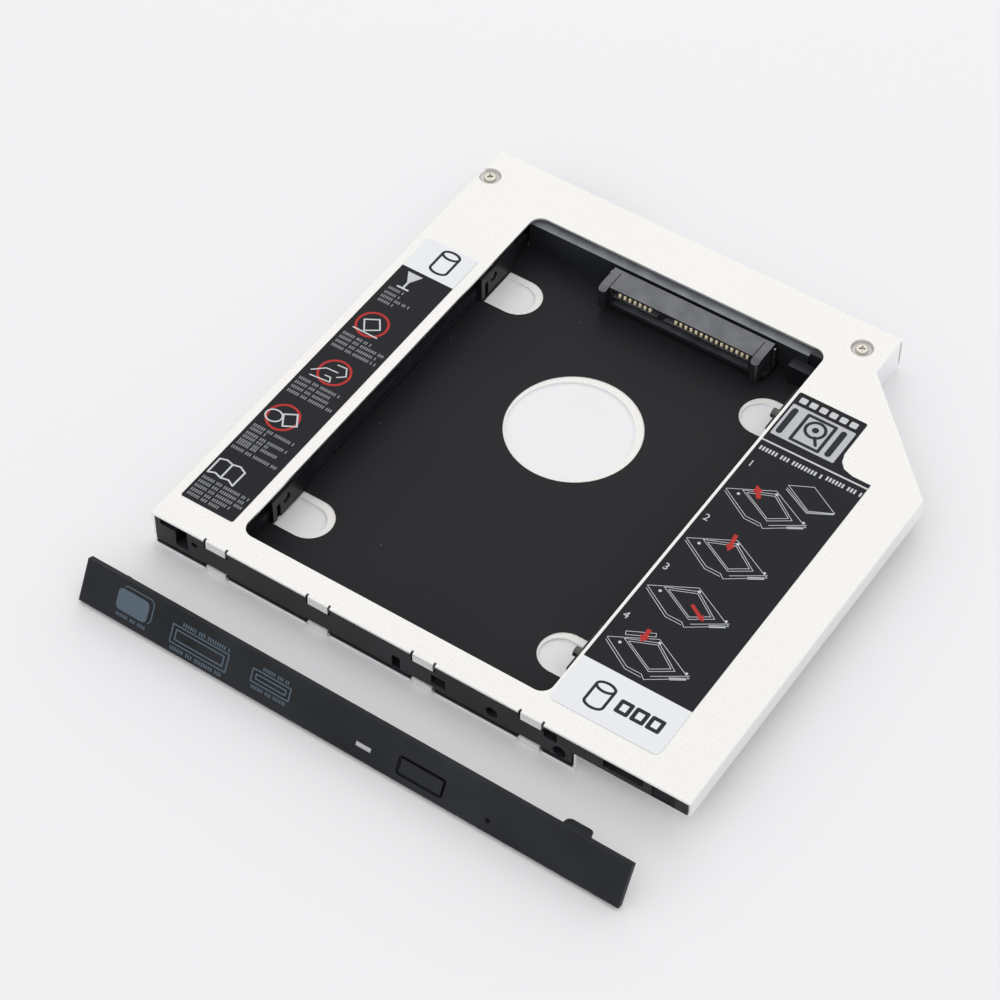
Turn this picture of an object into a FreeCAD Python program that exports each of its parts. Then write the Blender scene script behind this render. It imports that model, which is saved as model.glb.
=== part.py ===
import FreeCAD, Part
import math
import os
import Sketcher

# Driving sizes in millimetres. Positions are measured from the front left bottom corner of the tray:
# X to the right along the front, Y towards the plug, Z up from the underside.
SIZES = {
    # Slim bay format
    "tray_width": 128.0,
    "tray_depth": 127.0,
    "tray_height": 9.5,
    "rear_width": 102.6,
    "corner_side": 11.3,
    "sheet": 0.5,
    "seat_gap": 0.3,
    "thread_gap": 0.1,
    # Top cover
    "window_left": 17.97,
    "window_to_wall": 10.76,
    "window_front": 6.18,
    "window_to_rear": 12.46,
    "window_corner": 2.75,
    "cover_flange_low": 2.0,
    "fold_radius": 0.35,
    "corner_slit": 0.4,
    "tab_width": 4.8,
    "tab_row_margin": 26.46,
    "cover_tab_first": 13.85,
    "cover_tab_low": 7.3,
    "base_tab_first": 13.5,
    "base_tab_top": 1.5,
    "tab_notch_width": 0.55,
    "tab_notch_depth": 0.8,
    "dimple_radius": 2.45,
    "dimple_wall": 0.15,
    "dimple_depth": 0.7,
    "screw_left_x": 2.7,
    "screw_left_to_rear": 8.2,
    "screw_to_wall": 5.6,
    "screw_right_to_rear": 7.1,
    # Base plate with the raised wing
    "wing_low": 4.75,
    "centre_hole_x": 54.05,
    "centre_hole_y": 72.65,
    "centre_hole_radius": 13.81,
    "finger_left_x": 22.6,
    "finger_to_wall": 17.5,
    "finger_front_y": 21.7,
    "finger_to_rear": 29.0,
    "finger_rear_shift": 0.7,
    "finger_radius": 4.4,
    "finger_reach": 5.6,
    # Insulating film
    "film_thickness": 0.2,
    "film_gap": 0.1,
    "film_tuck": 0.5,
    "film_shift_x": 0.4,
    "film_shift_y": 0.7,
    "film_hole_margin": 1.12,
    "film_finger_margin": 0.97,
    # Moulded frame
    "frame_left": 0.8,
    "bar_front": 0.2,
    "bar_depth": 5.3,
    "left_rail_face": 16.8,
    "left_rail_upper_face": 15.6,
    "left_rail_step": 4.1,
    "right_rail_width": 12.35,
    "right_rail_height": 5.0,
    "right_rib_width": 3.0,
    "pad_depth": 1.1,
    "right_pad_depth": 0.65,
    "pad_root": 1.0,
    "pad_low": 0.9,
    "pad_high": 7.2,
    "pad_front": 17.0,
    "pad_length": 13.0,
    "pad_to_rear": 34.0,
    "pad_slot_offset": 1.3,
    "pad_slot_width": 1.2,
    "pad_slot_top": 5.0,
    "rail_rib_first": 1.35,
    "rail_rib_spacing": 0.9,
    "rail_rib_height": 0.35,
    "rail_rib_depth": 0.25,
    "rail_rib_gap": 1.0,
    "rail_floor": 1.0,
    "rail_outer_wall": 1.5,
    "cell_front": 7.5,
    "cell_wall": 3.0,
    "cell_to_bar": 6.3,
    "corner_block_reach": 5.45,
    "corner_block_depth": 2.6,
    "corner_block_height": 5.5,
    "wing_wall": 1.5,
    "wing_bar_depth": 4.0,
    "groove_low": 1.05,
    "groove_height": 0.6,
    "groove_depth": 0.25,
    "prong_slot_left": 5.9,
    "prong_slot_width": 3.0,
    "prong_slot_low": 3.0,
    "left_niche_left": 2.2,
    "left_niche_low": 7.0,
    "left_niche_depth": 2.5,
    "small_notch_left": 10.0,
    "small_notch_width": 1.4,
    "small_notch_low": 5.3,
    "small_notch_height": 1.2,
    "slot_one_left": 59.2,
    "slot_one_width": 2.0,
    "slot_one_low": 1.9,
    "slot_one_height": 3.4,
    "slot_two_left": 68.6,
    "slot_two_width": 3.4,
    "slot_two_low": 3.2,
    "slot_two_height": 2.6,
    "slot_three_to_wall": 7.3,
    "slot_three_width": 3.0,
    "slot_three_low": 5.7,
    "slot_three_height": 2.5,
    "blind_depth": 3.0,
    "hole_one_to_wall": 19.4,
    "hole_one_z": 4.1,
    "hole_one_radius": 1.35,
    "hole_two_to_wall": 3.7,
    "hole_two_z": 3.3,
    "hole_two_radius": 1.5,
    "wing_slot_start_share": 0.241,
    "wing_slot_share": 0.35,
    "wing_slot_low": 6.5,
    "end_niche_start_share": 0.669,
    "end_niche_share": 0.202,
    "end_niche_sill": 0.35,
    "end_niche_shallow": 0.15,
    "end_niche_deep": 0.9,
    "end_slit_low": 8.05,
    "end_slit_height": 0.25,
    "end_slit_depth": 1.4,
    # Plug board and rear bar
    "board_low": 1.4,
    "board_thickness": 1.0,
    "board_left": 7.0,
    "board_rear_gap": 0.3,
    "board_setback": 1.0,
    "bar_to_rear": 14.2,
    "bar_skirt": 1.0,
    "rear_bar_top": 8.0,
    "rear_bar_left": 17.1,
    "rear_bar_to_wall": 14.4,
    "rear_lip_depth": 2.4,
    # Drive receptacle
    "receptacle_to_wall": 60.1,
    "receptacle_to_rear": 20.8,
    "receptacle_depth": 5.7,
    "receptacle_top": 8.0,
    "receptacle_wall": 0.8,
    "mouth_low": 5.7,
    "mouth_high": 7.5,
    "mouth_depth": 3.6,
    "lip_thickness": 0.5,
    "under_low": 3.4,
    "under_depth": 1.6,
    "key_start": 11.4,
    "key_width": 3.0,
    "key_setback": 1.2,
    "lip_break_margin": 0.7,
    "ear_width": 2.0,
    "ear_gap": 0.2,
    "ear_reach": 1.6,
    "ear_slope": 0.6,
    "contact_start": 2.5,
    "contact_spacing": 1.27,
    "contact_width": 0.56,
    "power_start": 16.63,
    "power_end": 1.39,
    "contact_low": 6.05,
    "contact_height": 1.25,
    "contact_nose": 0.8,
    "contact_setback": 0.15,
    "contact_length": 3.2,
    "lock_width": 0.3,
    "lock_length": 0.6,
    "lock_drop": 0.8,
    "lock_to_ear": 0.25,
    "lock_setback": 1.0,
    "lock_side_gap": 0.7,
    # Computer-side plug
    "plug_left": 8.4,
    "plug_width": 23.2,
    "plug_length": 10.0,
    "plug_top": 7.0,
    "plug_gap": 0.4,
    "plug_wall": 1.0,
    "plug_depth": 5.0,
    "tongue_low": 4.0,
    "tongue_thickness": 1.0,
    "tongue_key": 10.9,
    "tongue_key_width": 1.4,
    "plug_contact_thickness": 0.15,
    "plug_contact_width": 0.6,
    "plug_contact_length": 4.0,
    "plug_signal_start": 2.5,
    "plug_signal_spacing": 1.27,
    "plug_power_start": 14.2,
    "plug_power_spacing": 1.0,
    # Small parts of the board
    "chip_to_plug": 14.0,
    "chip_to_bar_end": 5.9,
    "chip_width": 1.6,
    "chip_to_rear": 8.0,
    "chip_length": 0.8,
    "chip_height": 0.7,
    "chip_bay_margin": 1.0,
    # Screws
    "head_radius": 1.45,
    "head_height": 0.6,
    "head_round": 0.3,
    "cross_length": 1.5,
    "cross_width": 0.32,
    "cross_depth": 0.3,
    "shank_radius": 0.8,
    "shank_length": 4.5,
    "base_screw_left_x": 3.4,
    "base_screw_to_rear": 23.0,
    "base_head_height": 0.4,
    "base_dish_depth": 0.45,
    "base_screw_length": 3.0,
    "grub_radius": 1.1,
    "grub_length": 4.4,
    "grub_sink": 0.4,
    "right_grub_reach": 1.0,
    "grub_height": 4.5,
    "grub_offset": 4.7,
    # Labels
    "label_thickness": 0.1,
    "left_label_left": 2.3,
    "left_label_right": 15.4,
    "left_label_front": 7.0,
    "left_label_to_rear": 31.7,
    "label_to_window": 0.66,
    "label_side_share": 0.299,
    "right_label_front": 6.0,
    "label_to_corner": 2.6,
    "label_head_share": 0.651,
    "label_to_slope": 8.1,
    "label_notch_share": 0.177,
    # Loose front bezel, sizes along its own face
    "bezel_overhang": 0.65,
    "bezel_height": 9.83,
    "bezel_thickness": 1.75,
    "bezel_edge": 0.3,
    "bezel_left": 2.93,
    "bezel_rear": 19.49,
    "bezel_yaw": 0.57,
    "prong_underside": 3.4,
    "prong_reach": 6.8,
    "prong_height": 1.3,
    "prong_gap": 0.3,
    "clip_to_end": 16.9,
    "clip_width": 5.9,
    "clip_low": 7.2,
    "clip_height": 1.6,
    "clip_reach": 4.1,
    "clip_corner": 1.2,
    "nub_left": 8.6,
    "nub_width": 1.0,
    "nub_reach": 0.6,
    "recess_to_end": 51.6,
    "recess_width": 11.0,
    "recess_low": 1.7,
    "recess_height": 4.4,
    "recess_depth": 0.5,
    "recess_corner": 0.8,
    "button_margin": 0.6,
    "button_flange": 0.9,
    "button_flange_thickness": 0.6,
    "button_corner": 0.4,
    "lamp_to_end": 61.3,
    "lamp_width": 3.6,
    "lamp_low": 2.75,
    "lamp_height": 1.1,
    "lamp_setback": 0.15,
    "pinhole_to_end": 30.24,
    "pinhole_z": 2.8,
    "pinhole_radius": 0.55,
}

TAB_COUNT = 4
SIGNAL_CONTACTS = 7
POWER_CONTACTS = 15
PLUG_POWER_CONTACTS = 6
CHIP_COUNT = 4
RAIL_CELLS = 3
RAIL_RIBS = 3
MITRE = math.sqrt(2.0) - 1.0

doc = FreeCAD.newDocument("DriveCaddy")
sheet = doc.addObject("Spreadsheet::Sheet", "Sizes")


class Size:
    """A length together with the sheet formula that gives it."""

    def __init__(self, value, formula):
        self.value = value
        self.formula = formula

    @staticmethod
    def of(item):
        return item if isinstance(item, Size) else Size(float(item), repr(float(item)))

    def join(self, other, sign, value):
        return Size(value, "(" + self.formula + " " + sign + " " + other.formula + ")")

    def __add__(self, other):
        other = Size.of(other)
        return self.join(other, "+", self.value + other.value)

    def __sub__(self, other):
        other = Size.of(other)
        return self.join(other, "-", self.value - other.value)

    def __mul__(self, other):
        other = Size.of(other)
        return self.join(other, "*", self.value * other.value)

    def __truediv__(self, other):
        other = Size.of(other)
        return self.join(other, "/", self.value / other.value)

    def __neg__(self):
        return Size(0.0, "0.0") - self


class SizeBook:
    """Writes every driving size to the sheet and hands it out by name."""

    def __init__(self, values):
        for row, (name, value) in enumerate(values.items(), start=1):
            sheet.set("A" + str(row), str(value))
            sheet.setAlias("A" + str(row), name)
            setattr(self, name, Size(value, "Sizes." + name))
        doc.recompute()


class Ring:
    """A circle in a sketch."""

    def __init__(self, across, up, radius):
        self.centre = (Size.of(across), Size.of(up))
        self.radius = Size.of(radius)


class Finger:
    """A slot with one round end and one straight end at a given position across."""

    def __init__(self, end, across, up, radius):
        self.end = Size.of(end)
        self.centre = (Size.of(across), Size.of(up))
        self.radius = Size.of(radius)


def box(left, right, low, high):
    """Corners of a rectangle."""
    return [(left, low), (right, low), (right, high), (left, high)]


def span(left, width, low, height):
    """Corners of a rectangle given by a corner and its size."""
    return box(left, left + width, low, low + height)


def repeated(left, width, low, high, pitch, count):
    """Equal rectangles in a row."""
    return [box(left + pitch * i, left + pitch * i + width, low, high) for i in range(count)]


def pin(sketch, kind, geometry, point, size):
    """Ties one coordinate of a sketch point to a size."""
    index = sketch.addConstraint(Sketcher.Constraint(kind, -1, 1, geometry, point, size.value))
    sketch.setExpression("Constraints[" + str(index) + "]", size.formula)


def draw_polygon(sketch, points):
    points = [(Size.of(across), Size.of(up)) for across, up in points]
    first = sketch.GeometryCount
    ends = points[1:] + points[:1]
    for (across, up), (next_across, next_up) in zip(points, ends):
        start = FreeCAD.Vector(across.value, up.value, 0)
        stop = FreeCAD.Vector(next_across.value, next_up.value, 0)
        sketch.addGeometry(Part.LineSegment(start, stop))
    for i, (across, up) in enumerate(points):
        following = first + (i + 1) % len(points)
        sketch.addConstraint(Sketcher.Constraint("Coincident", first + i, 2, following, 1))
        pin(sketch, "DistanceX", first + i, 1, across)
        pin(sketch, "DistanceY", first + i, 1, up)


def draw_ring(sketch, ring):
    centre = FreeCAD.Vector(ring.centre[0].value, ring.centre[1].value, 0)
    circle = Part.Circle(centre, FreeCAD.Vector(0, 0, 1), ring.radius.value)
    geometry = sketch.addGeometry(circle)
    pin(sketch, "DistanceX", geometry, 3, ring.centre[0])
    pin(sketch, "DistanceY", geometry, 3, ring.centre[1])
    index = sketch.addConstraint(Sketcher.Constraint("Radius", geometry, ring.radius.value))
    sketch.setExpression("Constraints[" + str(index) + "]", ring.radius.formula)


def draw_finger(sketch, finger):
    across, up, radius = finger.centre[0].value, finger.centre[1].value, finger.radius.value
    opens_right = finger.end.value > across
    turn = math.pi / 2 if opens_right else -math.pi / 2
    circle = Part.Circle(FreeCAD.Vector(across, up, 0), FreeCAD.Vector(0, 0, 1), radius)
    arc = sketch.addGeometry(Part.ArcOfCircle(circle, turn, turn + math.pi))
    side = 1 if opens_right else -1
    first = FreeCAD.Vector(across, up + side * radius, 0)
    last = FreeCAD.Vector(across, up - side * radius, 0)
    outer_first = FreeCAD.Vector(finger.end.value, up + side * radius, 0)
    outer_last = FreeCAD.Vector(finger.end.value, up - side * radius, 0)
    start_line = sketch.addGeometry(Part.LineSegment(outer_first, first))
    stop_line = sketch.addGeometry(Part.LineSegment(last, outer_last))
    close_line = sketch.addGeometry(Part.LineSegment(outer_last, outer_first))
    sketch.addConstraint(Sketcher.Constraint("Tangent", start_line, 2, arc, 1))
    sketch.addConstraint(Sketcher.Constraint("Tangent", arc, 2, stop_line, 1))
    sketch.addConstraint(Sketcher.Constraint("Coincident", stop_line, 2, close_line, 1))
    sketch.addConstraint(Sketcher.Constraint("Coincident", close_line, 2, start_line, 1))
    sketch.addConstraint(Sketcher.Constraint("Horizontal", start_line))
    sketch.addConstraint(Sketcher.Constraint("Vertical", close_line))
    pin(sketch, "DistanceX", arc, 3, finger.centre[0])
    pin(sketch, "DistanceY", arc, 3, finger.centre[1])
    pin(sketch, "DistanceX", close_line, 1, finger.end)
    index = sketch.addConstraint(Sketcher.Constraint("Radius", arc, radius))
    sketch.setExpression("Constraints[" + str(index) + "]", finger.radius.formula)


def origin_plane(body, role):
    return next(item for item in body.Origin.OriginFeatures if item.Role == role)


def new_sketch(body, name, plane, offset):
    """A sketch parallel to one of the body's own planes at a given distance along X, Y or Z."""
    sketch = body.newObject("Sketcher::SketchObject", name)
    sketch.AttachmentSupport = [(origin_plane(body, plane + "_Plane"), "")]
    sketch.MapMode = "FlatFace"
    offset = -offset if plane == "XZ" else offset
    sketch.setExpression(".AttachmentOffset.Base.z", offset.formula)
    return sketch


def extrude(body, name, plane, shapes, start, end, cut=False):
    """Pads or pockets the shapes from start to end along the plane's positive axis."""
    start = Size.of(start)
    end = Size.of(end)
    before = body.Shape.Volume if body.Tip else 0.0
    sketch = new_sketch(body, name + "_sketch", plane, start)
    for shape in shapes:
        if isinstance(shape, Ring):
            draw_ring(sketch, shape)
        elif isinstance(shape, Finger):
            draw_finger(sketch, shape)
        else:
            draw_polygon(sketch, shape)
    feature = body.newObject("PartDesign::" + ("Pocket" if cut else "Pad"), name)
    feature.Profile = sketch
    feature.setExpression("Length", (end - start).formula)
    feature.Reversed = cut != (plane == "XZ")
    body.Tip = feature
    doc.recompute()
    change = body.Shape.Volume - before
    if (change >= -1e-6) if cut else (change <= 1e-6):
        raise ValueError(name + " changes nothing")
    return feature


def pad(body, name, plane, shapes, start, end):
    return extrude(body, name, plane, shapes, start, end)


def pocket(body, name, plane, shapes, start, end):
    return extrude(body, name, plane, shapes, start, end, cut=True)


def repeat(body, name, feature, axis, pitch, count):
    """A straight row of one feature."""
    pattern = body.newObject("PartDesign::LinearPattern", name)
    pattern.Originals = [feature]
    pattern.Direction = (origin_plane(body, axis + "_Axis"), [""])
    pattern.setExpression("Length", (pitch * (count - 1)).formula)
    pattern.Occurrences = count
    body.Tip = pattern
    doc.recompute()
    return pattern


def dress(body, name, kind, size, chosen):
    """Rounds or bevels the edges that a test on their middle point and direction picks."""
    tip = body.Tip
    edges = []
    for i, edge in enumerate(tip.Shape.Edges, start=1):
        middle = edge.valueAt((edge.FirstParameter + edge.LastParameter) / 2)
        if chosen(edge, middle):
            edges.append("Edge" + str(i))
    if not edges:
        raise ValueError(name + " finds no edge")
    feature = body.newObject("PartDesign::" + kind, name)
    feature.Base = (tip, edges)
    feature.setExpression("Radius" if kind == "Fillet" else "Size", size.formula)
    body.Tip = feature
    doc.recompute()
    return feature


def near(first, second):
    second = second.value if isinstance(second, Size) else second
    return abs(first - second) < 0.02


def upright(edge):
    """True for a straight edge along Z."""
    ends = [vertex.Point for vertex in edge.Vertexes]
    if len(ends) != 2:
        return False
    return near(ends[0].x, ends[1].x) and near(ends[0].y, ends[1].y) and abs(ends[0].z - ends[1].z) > 0.1


def new_body(name, across=None, deep=None):
    """A body whose placement puts the middle of the base plate's round hole at the origin."""
    body = doc.addObject("PartDesign::Body", name)
    body.Label = name
    body.AllowCompound = True
    across = s.centre_hole_x if across is None else across
    deep = s.centre_hole_y if deep is None else deep
    body.setExpression(".Placement.Base.x", (-across).formula)
    body.setExpression(".Placement.Base.y", (-deep).formula)
    return body


s = SizeBook(SIZES)

# Levels and lines that several pieces share
roof = s.tray_height - s.sheet
floor = s.sheet
film_top = floor + s.film_thickness
wing_floor = s.wing_low + s.sheet
wall_right = s.rear_width - s.seat_gap
wall_left = wall_right - s.sheet
bar_rear = s.bar_front + s.bar_depth
board_top = s.board_low + s.board_thickness
board_rear = s.tray_depth - s.sheet - s.board_rear_gap
frame_right = wall_left - s.seat_gap
dimple_floor = s.tray_height - s.dimple_depth
dimple_under = dimple_floor - s.sheet
dimple_outer = s.dimple_radius + s.dimple_wall
window_right = wall_right - s.window_to_wall
window_rear = s.tray_depth - s.window_to_rear
tab_pitch = (wall_right - s.tab_row_margin) / (TAB_COUNT - 1)
wing_width = s.tray_width - wall_right
bar_front_y = s.tray_depth - s.bar_to_rear
skirt_rear = bar_front_y + s.bar_skirt
rear_bar_right = wall_right - s.rear_bar_to_wall
right_rail_face = wall_right - s.right_rail_width
corner_block_left = right_rail_face - s.corner_block_reach
corner_block_front = bar_front_y - s.corner_block_depth
receptacle_left = wall_right - s.receptacle_to_wall
receptacle_front = s.tray_depth - s.receptacle_to_rear
receptacle_width = s.power_start + s.contact_spacing * (POWER_CONTACTS - 1) + s.power_end
tongue_left = receptacle_left - s.ear_width - s.ear_gap - s.lock_side_gap
tongue_right = receptacle_left + receptacle_width + s.ear_width + s.ear_gap + s.lock_side_gap
plug_right = s.plug_left + s.plug_width + s.plug_gap
chip_left = plug_right + s.chip_to_plug
chip_spacing = (rear_bar_right - s.chip_to_bar_end - chip_left) / CHIP_COUNT
chip_front = s.tray_depth - s.chip_to_rear
pad_face = s.left_rail_face + s.pad_depth
right_pad_face = right_rail_face - s.right_pad_depth
base_flange_top = s.cover_flange_low - s.seat_gap
finger_rear_y = s.tray_depth - s.finger_to_rear
finger_right_x = wall_right - s.finger_to_wall
screw_left_y = s.tray_depth - s.screw_left_to_rear
screw_right_x = wall_right - s.screw_to_wall
base_screw_y = s.tray_depth - s.base_screw_to_rear
cover_screw_points = [(s.screw_left_x, screw_left_y), (screw_right_x, s.tray_depth - s.screw_right_to_rear)]
base_screw_points = [(s.base_screw_left_x, base_screw_y), (screw_right_x, base_screw_y)]
pad_fronts = [s.pad_front, s.tray_depth - s.pad_to_rear]
grub_rows = [deep + s.grub_offset for deep in pad_fronts]
bezel_length = s.tray_width + s.bezel_overhang * 2
recess_left = bezel_length - s.recess_to_end
lamp_left = bezel_length - s.lamp_to_end


def outline(inset):
    """The plan of the tray, moved inwards by an inset."""
    inset = Size.of(inset)
    right = s.tray_width - inset
    rear = s.tray_depth - inset
    slope_end = s.tray_depth - s.corner_side - inset * MITRE
    side_end = slope_end + s.rear_width - s.tray_width
    rear_right = s.rear_width - inset
    return [(inset, inset), (right, inset), (right, side_end), (rear_right, slope_end),
            (rear_right, rear), (inset, rear)]


def fingers(shift_x, shift_y, margin):
    """The four finger slots that open towards the side rails."""
    radius = s.finger_radius + margin
    shapes = []
    for row, deep in enumerate((s.finger_front_y, finger_rear_y)):
        left = s.finger_left_x + shift_x + s.finger_rear_shift * row
        right = finger_right_x + shift_x + s.finger_rear_shift * row
        shapes.append(Finger(left - s.finger_reach, left, deep + shift_y, radius))
        shapes.append(Finger(right + s.finger_reach, right, deep + shift_y, radius))
    return shapes


def make_top_cover():
    """Folded sheet cover with the drive window, front tabs and screw dimples."""
    body = new_body("top_cover")
    top = outline(0.0)
    inner = outline(s.sheet)
    pad(body, "cover_top", "XY", [top], roof, s.tray_height)
    rear_inner = s.tray_depth - s.sheet
    flange_front = s.bar_front + s.seat_gap
    sides = [box(0.0, s.sheet, flange_front, rear_inner - s.corner_slit),
             box(s.rear_width - s.sheet, s.rear_width, inner[3][1], rear_inner - s.corner_slit),
             box(0.0, s.rear_width, rear_inner, s.tray_depth)]
    pad(body, "cover_sides", "XY", sides, s.cover_flange_low, roof)
    wing_side = [(s.tray_width - s.sheet, flange_front), (s.tray_width, flange_front),
                 top[2], top[3], inner[3], inner[2]]
    pad(body, "cover_wing_side", "XY", [wing_side], s.wing_low, roof)
    pocket(body, "window", "XY",
           [box(s.window_left, window_right, s.window_front, window_rear)], roof, s.tray_height)
    dress(body, "window_corners", "Fillet", s.window_corner,
          lambda edge, at: upright(edge) and s.window_left.value - 1 < at.x < window_right.value + 1
          and 1 < at.y < window_rear.value + 1)
    pad(body, "front_tabs", "XZ",
        repeated(s.cover_tab_first, s.tab_width, s.cover_tab_low, roof, tab_pitch, TAB_COUNT), 0.0, s.sheet)
    notches = repeated(s.cover_tab_first - s.tab_notch_width, s.tab_notch_width, 0.0, s.tab_notch_depth,
                       tab_pitch, TAB_COUNT)
    notches += repeated(s.cover_tab_first + s.tab_width, s.tab_notch_width, 0.0, s.tab_notch_depth,
                        tab_pitch, TAB_COUNT)
    pocket(body, "tab_notches", "XY", notches, roof, s.tray_height)
    dress(body, "folds", "Fillet", s.fold_radius, is_cover_fold)
    pad(body, "dimples", "XY", [Ring(x, y, dimple_outer) for x, y in cover_screw_points], dimple_under, roof)
    pocket(body, "dimple_hollows", "XY",
           [Ring(x, y, s.dimple_radius) for x, y in cover_screw_points], dimple_floor, s.tray_height)
    pocket(body, "dimple_edge", "XY",
           [box(-s.sheet, s.screw_left_x, screw_left_y - s.head_radius, screw_left_y + s.head_radius)],
           dimple_floor, s.tray_height)
    pocket(body, "screw_holes", "XY",
           [Ring(x, y, s.shank_radius + s.thread_gap) for x, y in cover_screw_points],
           dimple_under, dimple_floor)
    pocket(body, "plug_opening", "XZ",
           [box(s.plug_left - s.plug_gap, s.plug_left + s.plug_width + s.plug_gap,
                s.cover_flange_low, s.plug_top + s.plug_gap)], rear_inner, s.tray_depth)


def is_cover_fold(edge, middle):
    """True for the outer top edges where the cover sheet turns down."""
    if not near(middle.z, s.tray_height):
        return False
    if near(middle.y, 0.0):
        return near(edge.Length, s.tab_width)
    corner = outline(0.0)[2]
    slope = corner[0] + corner[1]
    on_slope = near(middle.x + middle.y, slope)
    sides = near(middle.x, 0.0) or near(middle.x, s.tray_width)
    return sides or near(middle.y, s.tray_depth) or on_slope or near(middle.x, s.rear_width)


def make_base_plate():
    """Folded sheet base whose right part steps up to the wing."""
    body = new_body("base_plate")
    slope_end = outline(0.0)[3][1]
    rear_inner = s.tray_depth - s.sheet
    pad(body, "base_floor", "XY", [box(0.0, wall_right, s.bar_front, s.tray_depth)], 0.0, s.sheet)
    pad(body, "base_tabs", "XZ",
        repeated(s.base_tab_first, s.tab_width, 0.0, s.base_tab_top, tab_pitch, TAB_COUNT), 0.0, s.sheet)
    notches = repeated(s.base_tab_first - s.tab_notch_width, s.tab_notch_width, s.bar_front,
                       s.tab_notch_depth, tab_pitch, TAB_COUNT)
    notches += repeated(s.base_tab_first + s.tab_width, s.tab_notch_width, s.bar_front,
                        s.tab_notch_depth, tab_pitch, TAB_COUNT)
    pocket(body, "base_notches", "XY", notches, 0.0, s.sheet)
    dress(body, "base_tab_folds", "Fillet", s.fold_radius,
          lambda edge, at: near(at.y, 0.0) and near(at.z, 0.0) and near(edge.Length, s.tab_width))
    sides = [box(0.0, s.sheet, s.tab_notch_depth, s.tray_depth),
             box(0.0, wall_right, rear_inner, s.tray_depth),
             box(wall_left, wall_right, s.sheet, s.tray_depth)]
    pad(body, "base_left_side", "XY", sides[:1], s.sheet, base_flange_top)
    pad(body, "base_rear_side", "XY", sides[1:2], s.sheet, base_flange_top)
    pad(body, "base_right_side", "XY", sides[2:], s.sheet, base_flange_top)
    pad(body, "step_wall", "XY",
        [box(wall_left, wall_right, s.sheet, slope_end - s.tab_notch_depth)], base_flange_top, wing_floor)
    inner = outline(s.sheet)
    cut_line = inner[2][0] + inner[2][1]
    wing = [(wall_right, s.sheet), inner[1], inner[2], (wall_right, cut_line - wall_right)]
    pad(body, "wing_plate", "XY", [wing], s.wing_low, wing_floor)
    pocket(body, "centre_hole", "XY",
           [Ring(s.centre_hole_x, s.centre_hole_y, s.centre_hole_radius)], 0.0, s.sheet)
    pocket(body, "finger_slots", "XY", fingers(0.0, 0.0, 0.0), 0.0, s.sheet)
    pad(body, "screw_dishes", "XY",
        [Ring(x, y, dimple_outer) for x, y in base_screw_points], s.sheet, s.sheet + s.base_dish_depth)
    pocket(body, "dish_hollows", "XY",
           [Ring(x, y, s.dimple_radius) for x, y in base_screw_points], 0.0, s.base_dish_depth)
    pocket(body, "base_screw_holes", "XY",
           [Ring(x, y, s.shank_radius + s.thread_gap) for x, y in base_screw_points],
           s.base_dish_depth, s.sheet + s.base_dish_depth)


def make_film():
    """Dark film that covers the base plate inside the bay."""
    body = new_body("insulating_film")
    left = s.left_rail_face + s.film_gap
    right = right_rail_face - s.film_gap
    front = bar_rear + s.film_gap
    rear = bar_front_y + s.film_tuck
    corner_front = corner_block_front - s.film_gap
    corner_left = corner_block_left - s.film_gap
    tuck_left = s.rear_bar_left + s.film_gap
    plan = [(left, front), (right, front), (right, corner_front), (corner_left, corner_front),
            (corner_left, rear), (tuck_left, rear), (tuck_left, bar_front_y), (left, bar_front_y)]
    pad(body, "film_sheet", "XY", [plan], floor, film_top)
    hole = Ring(s.centre_hole_x + s.film_shift_x, s.centre_hole_y + s.film_shift_y,
                s.centre_hole_radius + s.film_hole_margin)
    pocket(body, "film_hole", "XY", [hole], floor, film_top)
    pocket(body, "film_slots", "XY",
           fingers(s.film_shift_x, s.film_shift_y, s.film_finger_margin), floor, film_top)


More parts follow.
